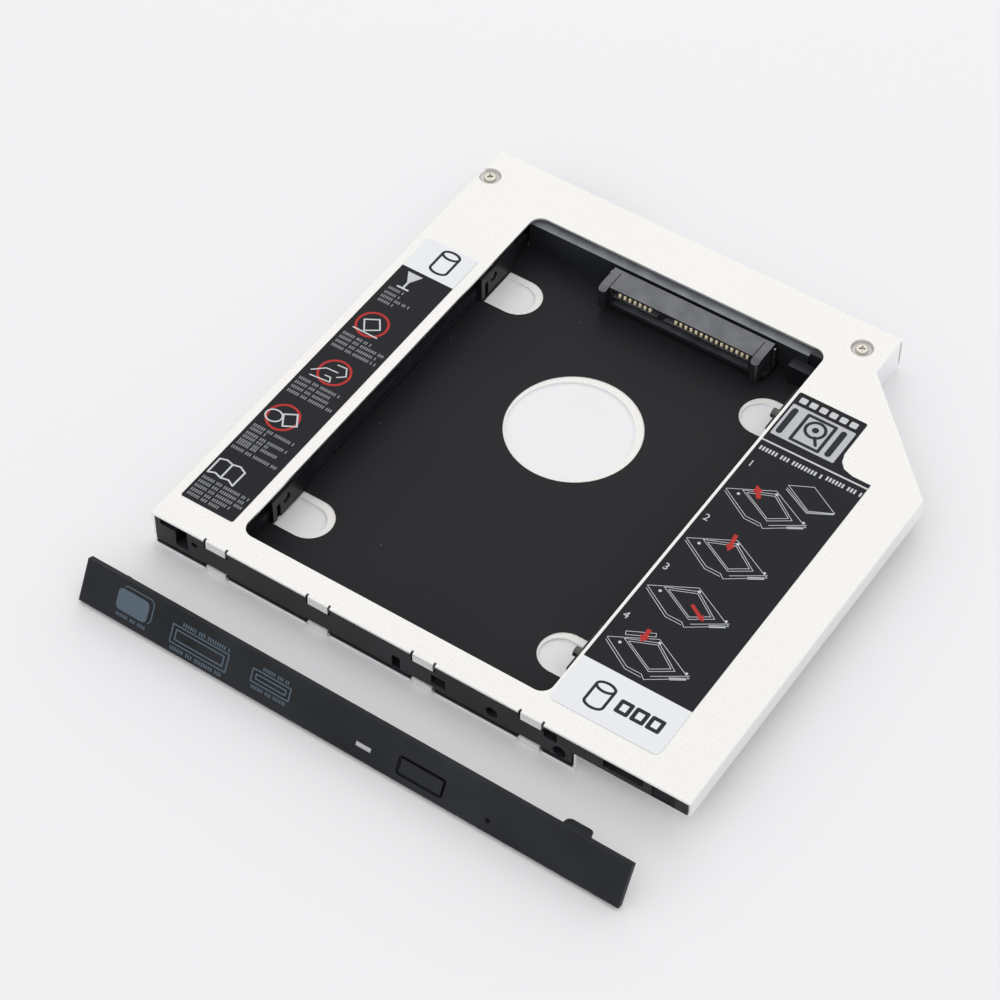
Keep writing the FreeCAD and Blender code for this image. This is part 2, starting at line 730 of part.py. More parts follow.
def make_moulded_frame():
    """One moulding: front bar, side rails, rear strip and the ring of the wing."""
    body = new_body("moulded_frame")
    left = s.frame_left
    right = frame_right
    rear = board_rear
    strip_right = s.board_left - s.seat_gap
    pad(body, "front_bar", "XY", [box(left, right, s.bar_front, bar_rear)], floor, roof)
    pad(body, "left_rail_low", "XY",
        [box(left, s.left_rail_face, bar_rear, bar_front_y)], floor, s.left_rail_step)
    pad(body, "left_rail_high", "XY",
        [box(left, s.left_rail_upper_face, bar_rear, bar_front_y)], s.left_rail_step, roof)
    pad(body, "left_strip", "XY", [box(left, strip_right, bar_front_y, rear)], floor, roof)
    strip_front = skirt_rear + s.seat_gap
    pad(body, "rear_strip", "XY", [box(strip_right, right, strip_front, rear)], floor, s.board_low)
    pad(body, "right_rail", "XY",
        [box(right_rail_face, right, bar_rear, bar_front_y)], floor, s.right_rail_height)
    pad(body, "right_rib", "XY",
        [box(wall_right - s.right_rib_width, right, bar_rear, bar_front_y)],
        s.right_rail_height, roof)
    block_right = rear_bar_right + s.seat_gap
    pad(body, "corner_block", "XY",
        [box(corner_block_left, right, corner_block_front, bar_front_y)], floor, s.corner_block_height)
    pad(body, "screw_block", "XY", [box(block_right, right, bar_front_y, rear)], s.board_low, roof)
    for deep, label in zip(pad_fronts, ("front", "rear")):
        pad(body, "left_pad_" + label, "XY",
            [box(s.left_rail_upper_face - s.pad_root, pad_face, deep, deep + s.pad_length)],
            s.pad_low, s.pad_high)
        pad(body, "right_pad_" + label, "XY",
            [box(right_pad_face, right_rail_face + s.pad_root, deep, deep + s.pad_length)],
            s.pad_low, s.right_rail_height)
    rib_front = s.pad_front + s.pad_length + s.rail_rib_gap
    rib_rear = pad_fronts[1] - s.rail_rib_gap
    ribs = [box(rib_front, rib_rear, s.rail_rib_first + s.rail_rib_spacing * i,
                s.rail_rib_first + s.rail_rib_spacing * i + s.rail_rib_height) for i in range(RAIL_RIBS)]
    pad(body, "rail_ribs", "YZ", ribs, s.left_rail_face, s.left_rail_face + s.rail_rib_depth)
    ring = outline(s.sheet)
    hollow = outline(s.sheet + s.wing_wall)
    ring_line = ring[2][0] + ring[2][1]
    hollow_line = hollow[2][0] + hollow[2][1]
    wing = [(right, s.bar_front), (ring[1][0], s.bar_front), ring[2],
            (wall_right + s.seat_gap, ring_line - wall_right - s.seat_gap),
            (wall_right + s.seat_gap, hollow_line - wall_right - s.seat_gap), hollow[2],
            (hollow[1][0], s.wing_bar_depth), (right, s.wing_bar_depth)]
    pad(body, "wing_ring", "XY", [wing], wing_floor, roof)
    cut_frame_hollows(body, left)
    cut_frame_front(body)
    cut_frame_holes(body)


def cut_frame_hollows(body, left):
    """Core-outs of the left rail and the slots of the pads."""
    cell_left = left + s.rail_outer_wall
    cell_right = s.left_rail_upper_face - s.rail_outer_wall
    cell_pitch = (bar_front_y - s.cell_to_bar - s.cell_front + s.cell_wall) / RAIL_CELLS
    cells = [box(cell_left, cell_right, s.cell_front + cell_pitch * i,
                 s.cell_front + cell_pitch * (i + 1) - s.cell_wall) for i in range(RAIL_CELLS)]
    pocket(body, "rail_cells", "XY", cells, floor + s.rail_floor, roof)
    for deep, label in zip(pad_fronts, ("front", "rear")):
        slot = box(s.left_rail_face, pad_face, deep + s.pad_slot_offset,
                   deep + s.pad_slot_offset + s.pad_slot_width)
        pocket(body, "pad_slot_" + label, "XY", [slot], s.pad_low, s.pad_slot_top)


def cut_frame_front(body):
    """Tab seats, groove, prong slots and holes of the front face."""
    seat = s.tab_notch_width
    cover_seats = repeated(s.cover_tab_first - seat, s.tab_width + seat * 2, s.cover_tab_low - s.seat_gap,
                           roof, tab_pitch, TAB_COUNT)
    pocket(body, "cover_tab_seats", "XZ", cover_seats, s.bar_front, s.sheet)
    base_seats = repeated(s.base_tab_first - seat, s.tab_width + seat * 2, floor,
                          s.base_tab_top + s.seat_gap * 2, tab_pitch, TAB_COUNT)
    pocket(body, "base_tab_seats", "XZ", base_seats, s.bar_front, s.sheet)
    pocket(body, "front_groove", "XZ",
           [box(s.frame_left, frame_right, s.groove_low, s.groove_low + s.groove_height)],
           s.bar_front, s.bar_front + s.groove_depth)
    through = [box(s.prong_slot_left, s.prong_slot_left + s.prong_slot_width, s.prong_slot_low, roof),
               span(s.slot_two_left, s.slot_two_width, s.slot_two_low, s.slot_two_height)]
    pocket(body, "prong_slots", "XZ", through, s.bar_front, bar_rear)
    niche = box(s.left_niche_left, s.prong_slot_left, s.left_niche_low, roof)
    pocket(body, "left_niche", "XZ", [niche], s.bar_front, s.bar_front + s.left_niche_depth)
    blind = [span(s.small_notch_left, s.small_notch_width, s.small_notch_low, s.small_notch_height),
             span(s.slot_one_left, s.slot_one_width, s.slot_one_low, s.slot_one_height),
             span(wall_right - s.slot_three_to_wall, s.slot_three_width, s.slot_three_low,
                  s.slot_three_height),
             Ring(wall_right - s.hole_one_to_wall, s.hole_one_z, s.hole_one_radius),
             Ring(wall_right - s.hole_two_to_wall, s.hole_two_z, s.hole_two_radius)]
    pocket(body, "blind_holes", "XZ", blind, s.bar_front, s.bar_front + s.blind_depth)
    slot_left = wall_right + wing_width * s.wing_slot_start_share
    pocket(body, "wing_slot", "XZ",
           [box(slot_left, slot_left + wing_width * s.wing_slot_share, s.wing_slot_low, roof)],
           s.bar_front, s.wing_bar_depth)
    niche_left = wall_right + wing_width * s.end_niche_start_share
    niche_right = niche_left + wing_width * s.end_niche_share
    niche_low = wing_floor + s.end_niche_sill
    niche_high = roof - s.end_niche_sill
    shallow = s.bar_front + s.end_niche_shallow
    sloped = [(s.bar_front, niche_low), (shallow, niche_low),
              (s.bar_front + s.end_niche_deep, niche_high), (s.bar_front, niche_high)]
    pocket(body, "end_niche", "YZ", [sloped], niche_left, niche_right)
    pocket(body, "end_slit", "XZ",
           [box(niche_left, niche_right, s.end_slit_low, s.end_slit_low + s.end_slit_height)],
           shallow, s.bar_front + s.end_slit_depth)


def cut_frame_holes(body):
    """Seats and holes for the screws."""
    clear = s.shank_radius + s.thread_gap
    pocket(body, "dimple_seats", "XY",
           [Ring(x, y, dimple_outer + s.seat_gap) for x, y in cover_screw_points], dimple_under, roof)
    pocket(body, "cover_screw_bores", "XY", [Ring(x, y, clear) for x, y in cover_screw_points],
           dimple_floor - s.shank_length - s.seat_gap, dimple_under)
    dish_top = s.sheet + s.base_dish_depth
    pocket(body, "dish_seats", "XY",
           [Ring(x, y, dimple_outer + s.seat_gap) for x, y in base_screw_points], floor, dish_top)
    pocket(body, "base_screw_bores", "XY", [Ring(x, y, clear) for x, y in base_screw_points],
           dish_top, s.base_dish_depth + s.base_screw_length + s.seat_gap)
    bores = [Ring(deep, s.grub_height, s.grub_radius + s.thread_gap) for deep in grub_rows]
    pocket(body, "left_grub_bores", "YZ", bores, pad_face - s.grub_sink - s.grub_length, pad_face)
    pocket(body, "right_grub_bores", "YZ", bores, right_pad_face, right_pad_face + s.grub_length)


def make_rear_bar():
    """Rear bar that holds the board down, notched for the plug, with its joint pins."""
    body = new_body("rear_bar")
    lip_rear = bar_front_y + s.rear_lip_depth
    plan = [(s.rear_bar_left, bar_front_y), (rear_bar_right, bar_front_y),
            (rear_bar_right, board_rear), (plug_right, board_rear), (plug_right, lip_rear),
            (s.rear_bar_left, lip_rear)]
    pad(body, "bar", "XY", [plan], board_top, s.rear_bar_top)
    skirts = [box(s.rear_bar_left, tongue_left - s.seat_gap, bar_front_y, skirt_rear),
              box(tongue_right + s.seat_gap, rear_bar_right, bar_front_y, skirt_rear)]
    pad(body, "skirts", "XY", skirts, film_top, board_top)
    margin = s.chip_bay_margin
    bay_right = chip_left + chip_spacing * (CHIP_COUNT - 1) + s.chip_width
    pocket(body, "chip_bay", "XY",
           [box(chip_left - margin, bay_right + margin, chip_front - margin,
                chip_front + s.chip_length + margin)], board_top, board_top + s.chip_height + s.seat_gap)


def make_board():
    """Plug board with a tongue under the drive receptacle."""
    body = new_body("adapter_board")
    front = skirt_rear + s.seat_gap
    tongue_front = receptacle_front + s.board_setback
    plan = [(s.board_left, front), (tongue_left, front), (tongue_left, tongue_front),
            (tongue_right, tongue_front), (tongue_right, front), (rear_bar_right, front),
            (rear_bar_right, board_rear), (s.board_left, board_rear)]
    pad(body, "board", "XY", [plan], s.board_low, board_top)


def make_receptacle():
    """Keyed drive receptacle with guide ears."""
    body = new_body("receptacle_housing")
    left = receptacle_left
    right = left + receptacle_width
    front = receptacle_front
    rear = front + s.receptacle_depth
    pad(body, "housing", "XY", [box(left, right, front, rear)], board_top, s.receptacle_top)
    ear_front = front - s.ear_reach
    ears = [box(left - s.ear_gap - s.ear_width, left - s.ear_gap, ear_front, rear),
            box(right + s.ear_gap, right + s.ear_gap + s.ear_width, ear_front, rear)]
    pad(body, "ears", "XY", ears, board_top, s.receptacle_top)
    dress(body, "ear_noses", "Fillet", s.ear_width / 2.5,
          lambda edge, at: upright(edge) and near(at.y, ear_front))
    slope = [(ear_front, s.receptacle_top - s.ear_slope), (front, s.receptacle_top),
             (ear_front, s.receptacle_top)]
    pocket(body, "ear_slopes", "YZ", [slope], left - s.ear_gap - s.ear_width,
           right + s.ear_gap + s.ear_width)
    bridge_front = rear - s.receptacle_wall
    bridges = [box(left - s.ear_gap, left, bridge_front, rear),
               box(right, right + s.ear_gap, bridge_front, rear)]
    pad(body, "bridges", "XY", bridges, board_top, s.receptacle_top)
    key_left = left + s.key_start
    key_right = key_left + s.key_width
    mouths = [box(left + s.receptacle_wall, key_left, s.mouth_low, s.mouth_high),
              box(key_right, right - s.receptacle_wall, s.mouth_low, s.mouth_high)]
    pocket(body, "mouths", "XZ", mouths, front, front + s.mouth_depth)
    under_high = s.mouth_low - s.lip_thickness
    pocket(body, "key_face", "XZ", [box(key_left, key_right, s.mouth_low, s.mouth_high)],
           front, front + s.key_setback)
    pocket(body, "lip_break", "XZ",
           [box(key_left + s.lip_break_margin, key_right - s.lip_break_margin, under_high, s.mouth_low)],
           front, front + s.key_setback)
    pocket(body, "under_lip", "XZ",
           [box(left + s.receptacle_wall, right - s.receptacle_wall, s.under_low, under_high)],
           front, front + s.under_depth)


def make_contacts(name, first, count):
    """A row of receptacle contacts."""
    body = new_body(name)
    start = receptacle_front + s.contact_setback
    end = start + s.contact_length
    top = s.contact_low + s.contact_height
    nose = s.contact_nose
    side = [(start, s.contact_low), (end, s.contact_low), (end, top), (start + nose, top),
            (start + nose * 0.5, top - nose * 0.15), (start + nose * 0.15, top - nose * 0.5),
            (start, top - nose)]
    blade = pad(body, name + "_blade", "YZ", [side],
                first - s.contact_width / 2, first + s.contact_width / 2)
    repeat(body, name + "_row", blade, "X", s.contact_spacing, count)


def make_board_locks():
    """Metal locks that hold the receptacle to the board."""
    body = new_body("board_locks")
    rear = receptacle_front + s.receptacle_depth - s.lock_setback
    reach = s.ear_width + s.ear_gap + s.lock_to_ear
    left = receptacle_left - reach - s.lock_width
    right = receptacle_left + receptacle_width + reach
    locks = [box(left, left + s.lock_width, rear, rear + s.lock_length),
             box(right, right + s.lock_width, rear, rear + s.lock_length)]
    pad(body, "locks", "XY", locks, board_top, s.receptacle_top - s.lock_drop)


def make_host_plug():
    """Computer-side plug at the rear with its keyed tongue."""
    body = new_body("host_plug_housing")
    left = s.plug_left
    right = left + s.plug_width
    pad(body, "plug_block", "XY", [box(left, right, s.tray_depth - s.plug_length, s.tray_depth)],
        board_top, s.plug_top)
    mouth_front = s.tray_depth - s.plug_depth
    pocket(body, "plug_mouth", "XZ",
           [box(left + s.plug_wall, right - s.plug_wall, board_top + s.plug_wall / 2,
                s.plug_top - s.plug_wall)], mouth_front, s.tray_depth)
    key_left = left + s.tongue_key
    tongues = [box(left + s.plug_wall * 1.5, key_left, s.tongue_low, s.tongue_low + s.tongue_thickness),
               box(key_left + s.tongue_key_width, right - s.plug_wall * 1.5,
                   s.tongue_low, s.tongue_low + s.tongue_thickness)]
    pad(body, "tongues", "XZ", tongues, mouth_front, s.tray_depth - s.seat_gap * 2)


def make_host_plug_contacts():
    """Contact strips lying on the plug's tongue."""
    body = new_body("host_plug_contacts")
    top = s.tongue_low + s.tongue_thickness
    start = s.tray_depth - s.plug_depth
    rows = (("signal", s.plug_left + s.plug_signal_start, s.plug_signal_spacing, SIGNAL_CONTACTS),
            ("power", s.plug_left + s.plug_power_start, s.plug_power_spacing, PLUG_POWER_CONTACTS))
    for label, first, pitch, count in rows:
        half = s.plug_contact_width / 2
        strip = pad(body, label + "_strip", "XZ",
                    [box(first - half, first + half, top, top + s.plug_contact_thickness)],
                    start, start + s.plug_contact_length)
        repeat(body, label + "_strips", strip, "X", pitch, count)


def make_chips():
    """Chip capacitors on the board."""
    body = new_body("board_capacitors")
    chip = pad(body, "chip", "XY",
               [span(chip_left, s.chip_width, chip_front, s.chip_length)],
               board_top, board_top + s.chip_height)
    repeat(body, "chips", chip, "X", chip_spacing, CHIP_COUNT)


def cross(x, y):
    """The two bars of a cross recess, one inside the other's plan."""
    long_half = s.cross_length / 2
    thin_half = s.cross_width / 2
    return [(x - thin_half, y - long_half), (x + thin_half, y - long_half), (x + thin_half, y - thin_half),
            (x + long_half, y - thin_half), (x + long_half, y + thin_half), (x + thin_half, y + thin_half),
            (x + thin_half, y + long_half), (x - thin_half, y + long_half), (x - thin_half, y + thin_half),
            (x - long_half, y + thin_half), (x - long_half, y - thin_half), (x - thin_half, y - thin_half)]


def make_cover_screws():
    """Two small cross-head screws sitting in the dimples."""
    body = new_body("cover_screws")
    head_top = dimple_floor + s.head_height
    pad(body, "cover_heads", "XY", [Ring(x, y, s.head_radius) for x, y in cover_screw_points],
        dimple_floor, head_top)
    dress(body, "cover_head_round", "Fillet", s.head_round,
          lambda edge, at: near(at.z, head_top))
    pad(body, "cover_shanks", "XY", [Ring(x, y, s.shank_radius) for x, y in cover_screw_points],
        dimple_floor - s.shank_length, dimple_floor)
    pocket(body, "cover_crosses", "XY", [cross(x, y) for x, y in cover_screw_points],
           head_top - s.cross_depth, head_top)


def make_base_screws():
    """Two low cross-head screws in the dishes of the base plate."""
    body = new_body("base_screws")
    under = s.base_dish_depth - s.base_head_height
    pad(body, "base_heads", "XY", [Ring(x, y, s.head_radius) for x, y in base_screw_points],
        under, s.base_dish_depth)
    pad(body, "base_shanks", "XY", [Ring(x, y, s.shank_radius) for x, y in base_screw_points],
        s.base_dish_depth, s.base_dish_depth + s.base_screw_length)
    pocket(body, "base_crosses", "XY", [cross(x, y) for x, y in base_screw_points],
           under, under + s.base_head_height / 2)


def make_drive_screws():
    """Four headless screws in the pads, the right ones with their tips out."""
    body = new_body("drive_screws")
    sides = (("left", pad_face - s.grub_sink - s.grub_length, pad_face - s.grub_sink),
             ("right", right_pad_face - s.right_grub_reach,
              right_pad_face - s.right_grub_reach + s.grub_length))
    for label, start, end in sides:
        pad(body, label + "_grubs", "YZ",
            [Ring(deep, s.grub_height, s.grub_radius) for deep in grub_rows], start, end)


def make_labels():
    """The two stuck-on labels."""
    top = s.tray_height + s.label_thickness
    left_label = new_body("left_label")
    left_rear = s.tray_depth - s.left_label_to_rear
    pad(left_label, "left_sheet", "XY",
        [box(s.left_label_left, s.left_label_right, s.left_label_front, left_rear)], s.tray_height, top)
    right_label = new_body("right_label")
    corner = outline(0.0)[2]
    left = window_right + s.label_to_window
    right = s.tray_width - (s.tray_width - window_right) * s.label_side_share
    head = left + (right - left) * s.label_head_share
    notch = (right - left) * s.label_notch_share
    side = corner[1] - s.label_to_corner
    rear = corner[0] + corner[1] - head - s.label_to_slope
    plan = [(left, s.right_label_front), (right, s.right_label_front), (right, side), (head + notch, side),
            (head + notch * 0.45, side + notch * 0.17), (head + notch * 0.15, side + notch * 0.5),
            (head, side + notch), (head, rear), (left, rear)]
    pad(right_label, "right_sheet", "XY", [plan], s.tray_height, top)


def lean_bezel(body):
    """Rests the bezel on its lower back edge and its prongs, face up and slightly turned."""
    lean = "atan(" + (s.prong_underside / s.prong_reach).formula + ")"
    across = (-s.bezel_left - s.centre_hole_x).formula
    deep = (-s.bezel_rear - s.centre_hole_y).formula
    body.setExpression(".Placement.Base.x", None)
    body.setExpression(".Placement.Base.y", None)
    turn = "create(<<rotation>>; -" + s.bezel_yaw.formula + "; 0; -" + lean + ")"
    shift = "create(<<vector>>; " + across + "; " + deep + "; 0)"
    body.setExpression("Placement", "create(<<placement>>; " + shift + "; " + turn + ")")


def make_bezel():
    """Front bezel with button recess, lamp slot, prongs and clip."""
    body = new_body("bezel")
    face = -s.bezel_thickness
    pad(body, "plate", "XZ", [box(0.0, bezel_length, 0.0, s.bezel_height)], face, 0.0)
    dress(body, "face_edges", "Chamfer", s.bezel_edge, lambda edge, at: near(at.y, face))
    prong_top = s.prong_underside + s.prong_height
    prongs = []
    slots = ((s.prong_slot_left, s.prong_slot_width), (s.slot_two_left, s.slot_two_width))
    for slot_left, slot_width in slots:
        start = slot_left + s.bezel_overhang + s.prong_gap
        prongs.append(box(start, start + slot_width - s.prong_gap * 2, s.prong_underside, prong_top))
    pad(body, "prongs", "XZ", prongs, 0.0, s.prong_reach)
    pad(body, "clip", "XZ",
        [span(bezel_length - s.clip_to_end, s.clip_width, s.clip_low, s.clip_height)], 0.0, s.clip_reach)
    dress(body, "clip_corners", "Fillet", s.clip_corner,
          lambda edge, at: upright(edge) and near(at.y, s.clip_reach))
    nub_top = s.bezel_height - s.bezel_edge
    nub_right = s.nub_left + s.nub_width
    pad(body, "nub", "XZ", [box(s.nub_left, nub_right, s.clip_low, nub_top)], 0.0, s.nub_reach)
    pocket(body, "button_recess", "XZ",
           [span(recess_left, s.recess_width, s.recess_low, s.recess_height)],
           face, face + s.recess_depth)
    dress(body, "recess_corners", "Fillet", s.recess_corner,
          lambda edge, at: near(at.y, face + s.recess_depth / 2) and inside_recess(at))
    opening = s.button_margin - s.seat_gap
    pocket(body, "button_opening", "XZ",
           [box(recess_left + opening, recess_left + s.recess_width - opening,
                s.recess_low + opening, s.recess_low + s.recess_height - opening)],
           face + s.recess_depth, 0.0)
    pocket(body, "lamp_slot", "XZ", [span(lamp_left, s.lamp_width, s.lamp_low, s.lamp_height)], face, 0.0)
    pocket(body, "pinhole", "XZ",
           [Ring(bezel_length - s.pinhole_to_end, s.pinhole_z, s.pinhole_radius)], face, 0.0)
    lean_bezel(body)


def inside_recess(at):
    """True for points on the outline of the button recess."""
    left = recess_left.value - 0.1
    right = (recess_left + s.recess_width).value + 0.1
    high = (s.recess_low + s.recess_height).value + 0.1
    return left < at.x < right and s.recess_low.value - 0.1 < at.z < high


def make_button():
    """Sprung button with a retaining flange behind the bezel."""
    body = new_body("eject_button")
    face = -s.bezel_thickness
    left = recess_left + s.button_margin
    right = recess_left + s.recess_width - s.button_margin
    low = s.recess_low + s.button_margin
    high = s.recess_low + s.recess_height - s.button_margin
    pad(body, "cap", "XZ", [box(left, right, low, high)], face, s.seat_gap)
    dress(body, "cap_edges", "Fillet", s.button_corner / 2,
          lambda edge, at: near(at.y, face))
    flange = s.button_flange
    pad(body, "flange", "XZ", [box(left - flange, right + flange, low - flange, high + flange)],
        s.seat_gap, s.seat_gap + s.button_flange_thickness)
    lean_bezel(body)


def make_lamp():
    """Lamp window filling the slot beside the button."""
    body = new_body("led_window")
    pad(body, "lamp", "XZ", [span(lamp_left, s.lamp_width, s.lamp_low, s.lamp_height)],
        s.lamp_setback - s.bezel_thickness, 0.0)
    lean_bezel(body)


make_base_plate()
make_film()
make_moulded_frame()
make_board()
make_rear_bar()
make_receptacle()
make_contacts("signal_contacts", receptacle_left + s.contact_start, SIGNAL_CONTACTS)
make_contacts("power_contacts", receptacle_left + s.power_start, POWER_CONTACTS)
make_board_locks()
make_host_plug()
make_host_plug_contacts()
make_chips()
make_top_cover()
make_cover_screws()
make_base_screws()
make_drive_screws()
make_labels()
make_bezel()
make_button()
make_lamp()

doc.recompute()
for item in doc.Objects:
    if "Invalid" in item.State or "Error" in item.State:
        raise ValueError(item.Label + " has an error")

os.makedirs("parts", exist_ok=True)
for item in doc.Objects:
    if item.TypeId == "PartDesign::Body":
        if item.Shape.isNull() or not item.Shape.isValid():
            raise ValueError(item.Label + " has no valid shape")
        item.Shape.exportStep("parts/" + item.Label + ".step")
        print(item.Label, len(item.Shape.Solids), "solids", round(item.Shape.Volume, 2), "mm3")
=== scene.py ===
"""Looks of the drive caddy: its finishes, printed labels and screws, the table and the light."""

import itertools
import logging
import math
from dataclasses import dataclass, field
from enum import Enum
from typing import Any, Callable, Iterable, Mapping, Sequence

import bmesh
import bpy
from bmesh.types import BMEdge, BMFace
from bpy.types import Material, Node, NodeSocket, NodeTree, Object
from mathutils import Matrix, Vector


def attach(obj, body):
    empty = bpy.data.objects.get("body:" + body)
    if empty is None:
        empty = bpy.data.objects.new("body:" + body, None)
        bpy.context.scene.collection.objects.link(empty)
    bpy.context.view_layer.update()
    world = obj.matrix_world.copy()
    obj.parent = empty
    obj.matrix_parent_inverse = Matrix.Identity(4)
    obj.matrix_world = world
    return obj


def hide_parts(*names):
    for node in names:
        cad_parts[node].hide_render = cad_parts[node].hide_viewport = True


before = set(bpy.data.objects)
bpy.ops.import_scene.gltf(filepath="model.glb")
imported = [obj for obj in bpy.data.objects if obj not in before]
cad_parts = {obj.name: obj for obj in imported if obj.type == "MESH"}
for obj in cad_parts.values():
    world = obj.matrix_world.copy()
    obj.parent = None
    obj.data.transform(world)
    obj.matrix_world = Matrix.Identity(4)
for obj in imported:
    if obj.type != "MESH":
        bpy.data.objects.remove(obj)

LOG = logging.getLogger("caddy")
MM = 0.001
TRAY_CORNER = Vector((-54.05, -72.65, 0.0))

# Metres within which two coordinates are the same, and the least Z of a level face's normal.
CLOSE = 1e-7
LEVEL = 0.9

# The Mix node's colour sockets, which share their names with its other sockets.
MIX_COLOURS = (6, 7)
MIX_RESULT = 2

Point = tuple[float, float]
Triple = tuple[float, float, float]
Shade = str | NodeSocket

SCREW_PLACES: tuple[Point, ...] = ((2.7, 118.8), (96.7, 119.9))
ALL: Point = (0.0, 1.0)
NOISE_RANGE: Point = (0.3, 0.7)


class Body(Enum):
    """The rigid bodies that pieces ride on."""

    CADDY = "caddy"
    BEZEL = "loose_bezel"


def linear(colour: str) -> tuple[float, float, float, float]:
    """Turns an sRGB hex colour into linear values.

    Args:
        colour: Six hex digits with a leading hash.

    Returns:
        Linear red, green, blue and an alpha of one.
    """
    values = [int(colour[i:i + 2], 16) / 255 for i in (1, 3, 5)]
    straight = [v / 12.92 if v <= 0.04045 else ((v + 0.055) / 1.055) ** 2.4 for v in values]
    return (straight[0], straight[1], straight[2], 1.0)


def tray(x: float, y: float, z: float) -> Vector:
    """Turns millimetres from the tray's front left bottom corner into metres in the row frame.

    Args:
        x: Distance to the right of the left side.
        y: Distance behind the front edge.
        z: Height above the underside.

    Returns:
        The place in metres.
    """
    return (Vector((x, y, z)) + TRAY_CORNER) * MM


def pick(obj: Object) -> None:
    """Makes one object the only selected and the active one."""
    for other in bpy.context.selected_objects:
        other.select_set(False)
    obj.select_set(True)
    bpy.context.view_layer.objects.active = obj


def settle(obj: Object) -> None:
    """Puts an object's place, turn and scale into its mesh."""
    pick(obj)
    bpy.ops.object.transform_apply(location=True, rotation=True, scale=True)


def copy_of(obj: Object) -> Object:
    """Gives a copy of an object that has a mesh of its own."""
    made = obj.copy()
    made.data = obj.data.copy()
    bpy.context.scene.collection.objects.link(made)
    return made


def join(objects: Sequence[Object]) -> Object:
    """Joins objects into the first of them and gives that one."""
    pick(objects[0])
    for obj in objects[1:]:
        obj.select_set(True)
    if len(objects) > 1:
        bpy.ops.object.join()
    return bpy.context.object


def modify(obj: Object, kind: str, **settings: Any) -> None:
    """Adds one modifier and applies it.

    Args:
        obj: The object.
        kind: The modifier's type name.
        **settings: Values by the modifier's property names.
    """
    pick(obj)
    bpy.ops.object.modifier_add(type=kind)
    modifier = obj.modifiers[-1]
    for name, value in settings.items():
        setattr(modifier, name, value)
    bpy.ops.object.modifier_apply(modifier=modifier.name)


def block(place: Sequence[float], size: Triple, turn: float = 0.0) -> Object:
    """Adds a block.

    Args:
        place: Its middle, in metres.
        size: Its length, depth and height in millimetres.
        turn: Its turn about Z in radians.

    Returns:
        The block.
    """
    bpy.ops.mesh.primitive_cube_add(
        size=1.0, location=place, rotation=(0, 0, turn), scale=tuple(side * MM for side in size))
    obj = bpy.context.object
    settle(obj)
    return obj


def drum(
    place: Sequence[float], radii: Point, height: float, corners: int, turn: float = 0.0
) -> Object:
    """Adds an upright cylinder, oval where its radii differ.

    Args:
        place: Its middle, in metres.
        radii: Half its length and half its depth in millimetres.
        height: Its height in millimetres.
        corners: Number of corners around it.
        turn: Its turn about Z in radians.

    Returns:
        The cylinder.
    """
    bpy.ops.mesh.primitive_cylinder_add(
        vertices=corners, radius=radii[0] * MM, depth=height * MM, location=place,
        rotation=(0, 0, turn), scale=(1.0, radii[1] / radii[0], 1.0))
    obj = bpy.context.object
    settle(obj)
    return obj


def edit(obj: Object, kind: str, chosen: Callable[[BMEdge | BMFace], bool]) -> None:
    """Enters edit mode with only some edges or faces selected.

    Args:
        obj: The object to edit.
        kind: EDGE or FACE.
        chosen: Says whether an edge or face is wanted.
    """
    pick(obj)
    bpy.ops.object.mode_set(mode="EDIT")
    bpy.ops.mesh.select_mode(type=kind)
    mesh = bmesh.from_edit_mesh(obj.data)
    for part in mesh.edges if kind == "EDGE" else mesh.faces:
        part.select_set(chosen(part))
    mesh.select_flush_mode()
    bmesh.update_edit_mesh(obj.data)


def leave_edit() -> None:
    """Goes back to object mode."""
    bpy.ops.object.mode_set(mode="OBJECT")


def round_edges(obj: Object, chosen: Callable[[BMEdge], bool], radius: float, steps: int) -> None:
    """Rounds some edges of an object.

    Args:
        obj: The object.
        chosen: Says whether an edge is rounded.
        radius: Radius in millimetres.
        steps: Number of flats along the arc.
    """
    edit(obj, "EDGE", chosen)
    bpy.ops.mesh.bevel(offset=radius * MM, segments=steps, affect="EDGES")
    leave_edit()


def upright(edge: BMEdge) -> bool:
    """Says whether an edge runs along Z."""
    first, second = (vertex.co for vertex in edge.verts)
    return abs(first.x - second.x) < CLOSE and abs(first.y - second.y) < CLOSE


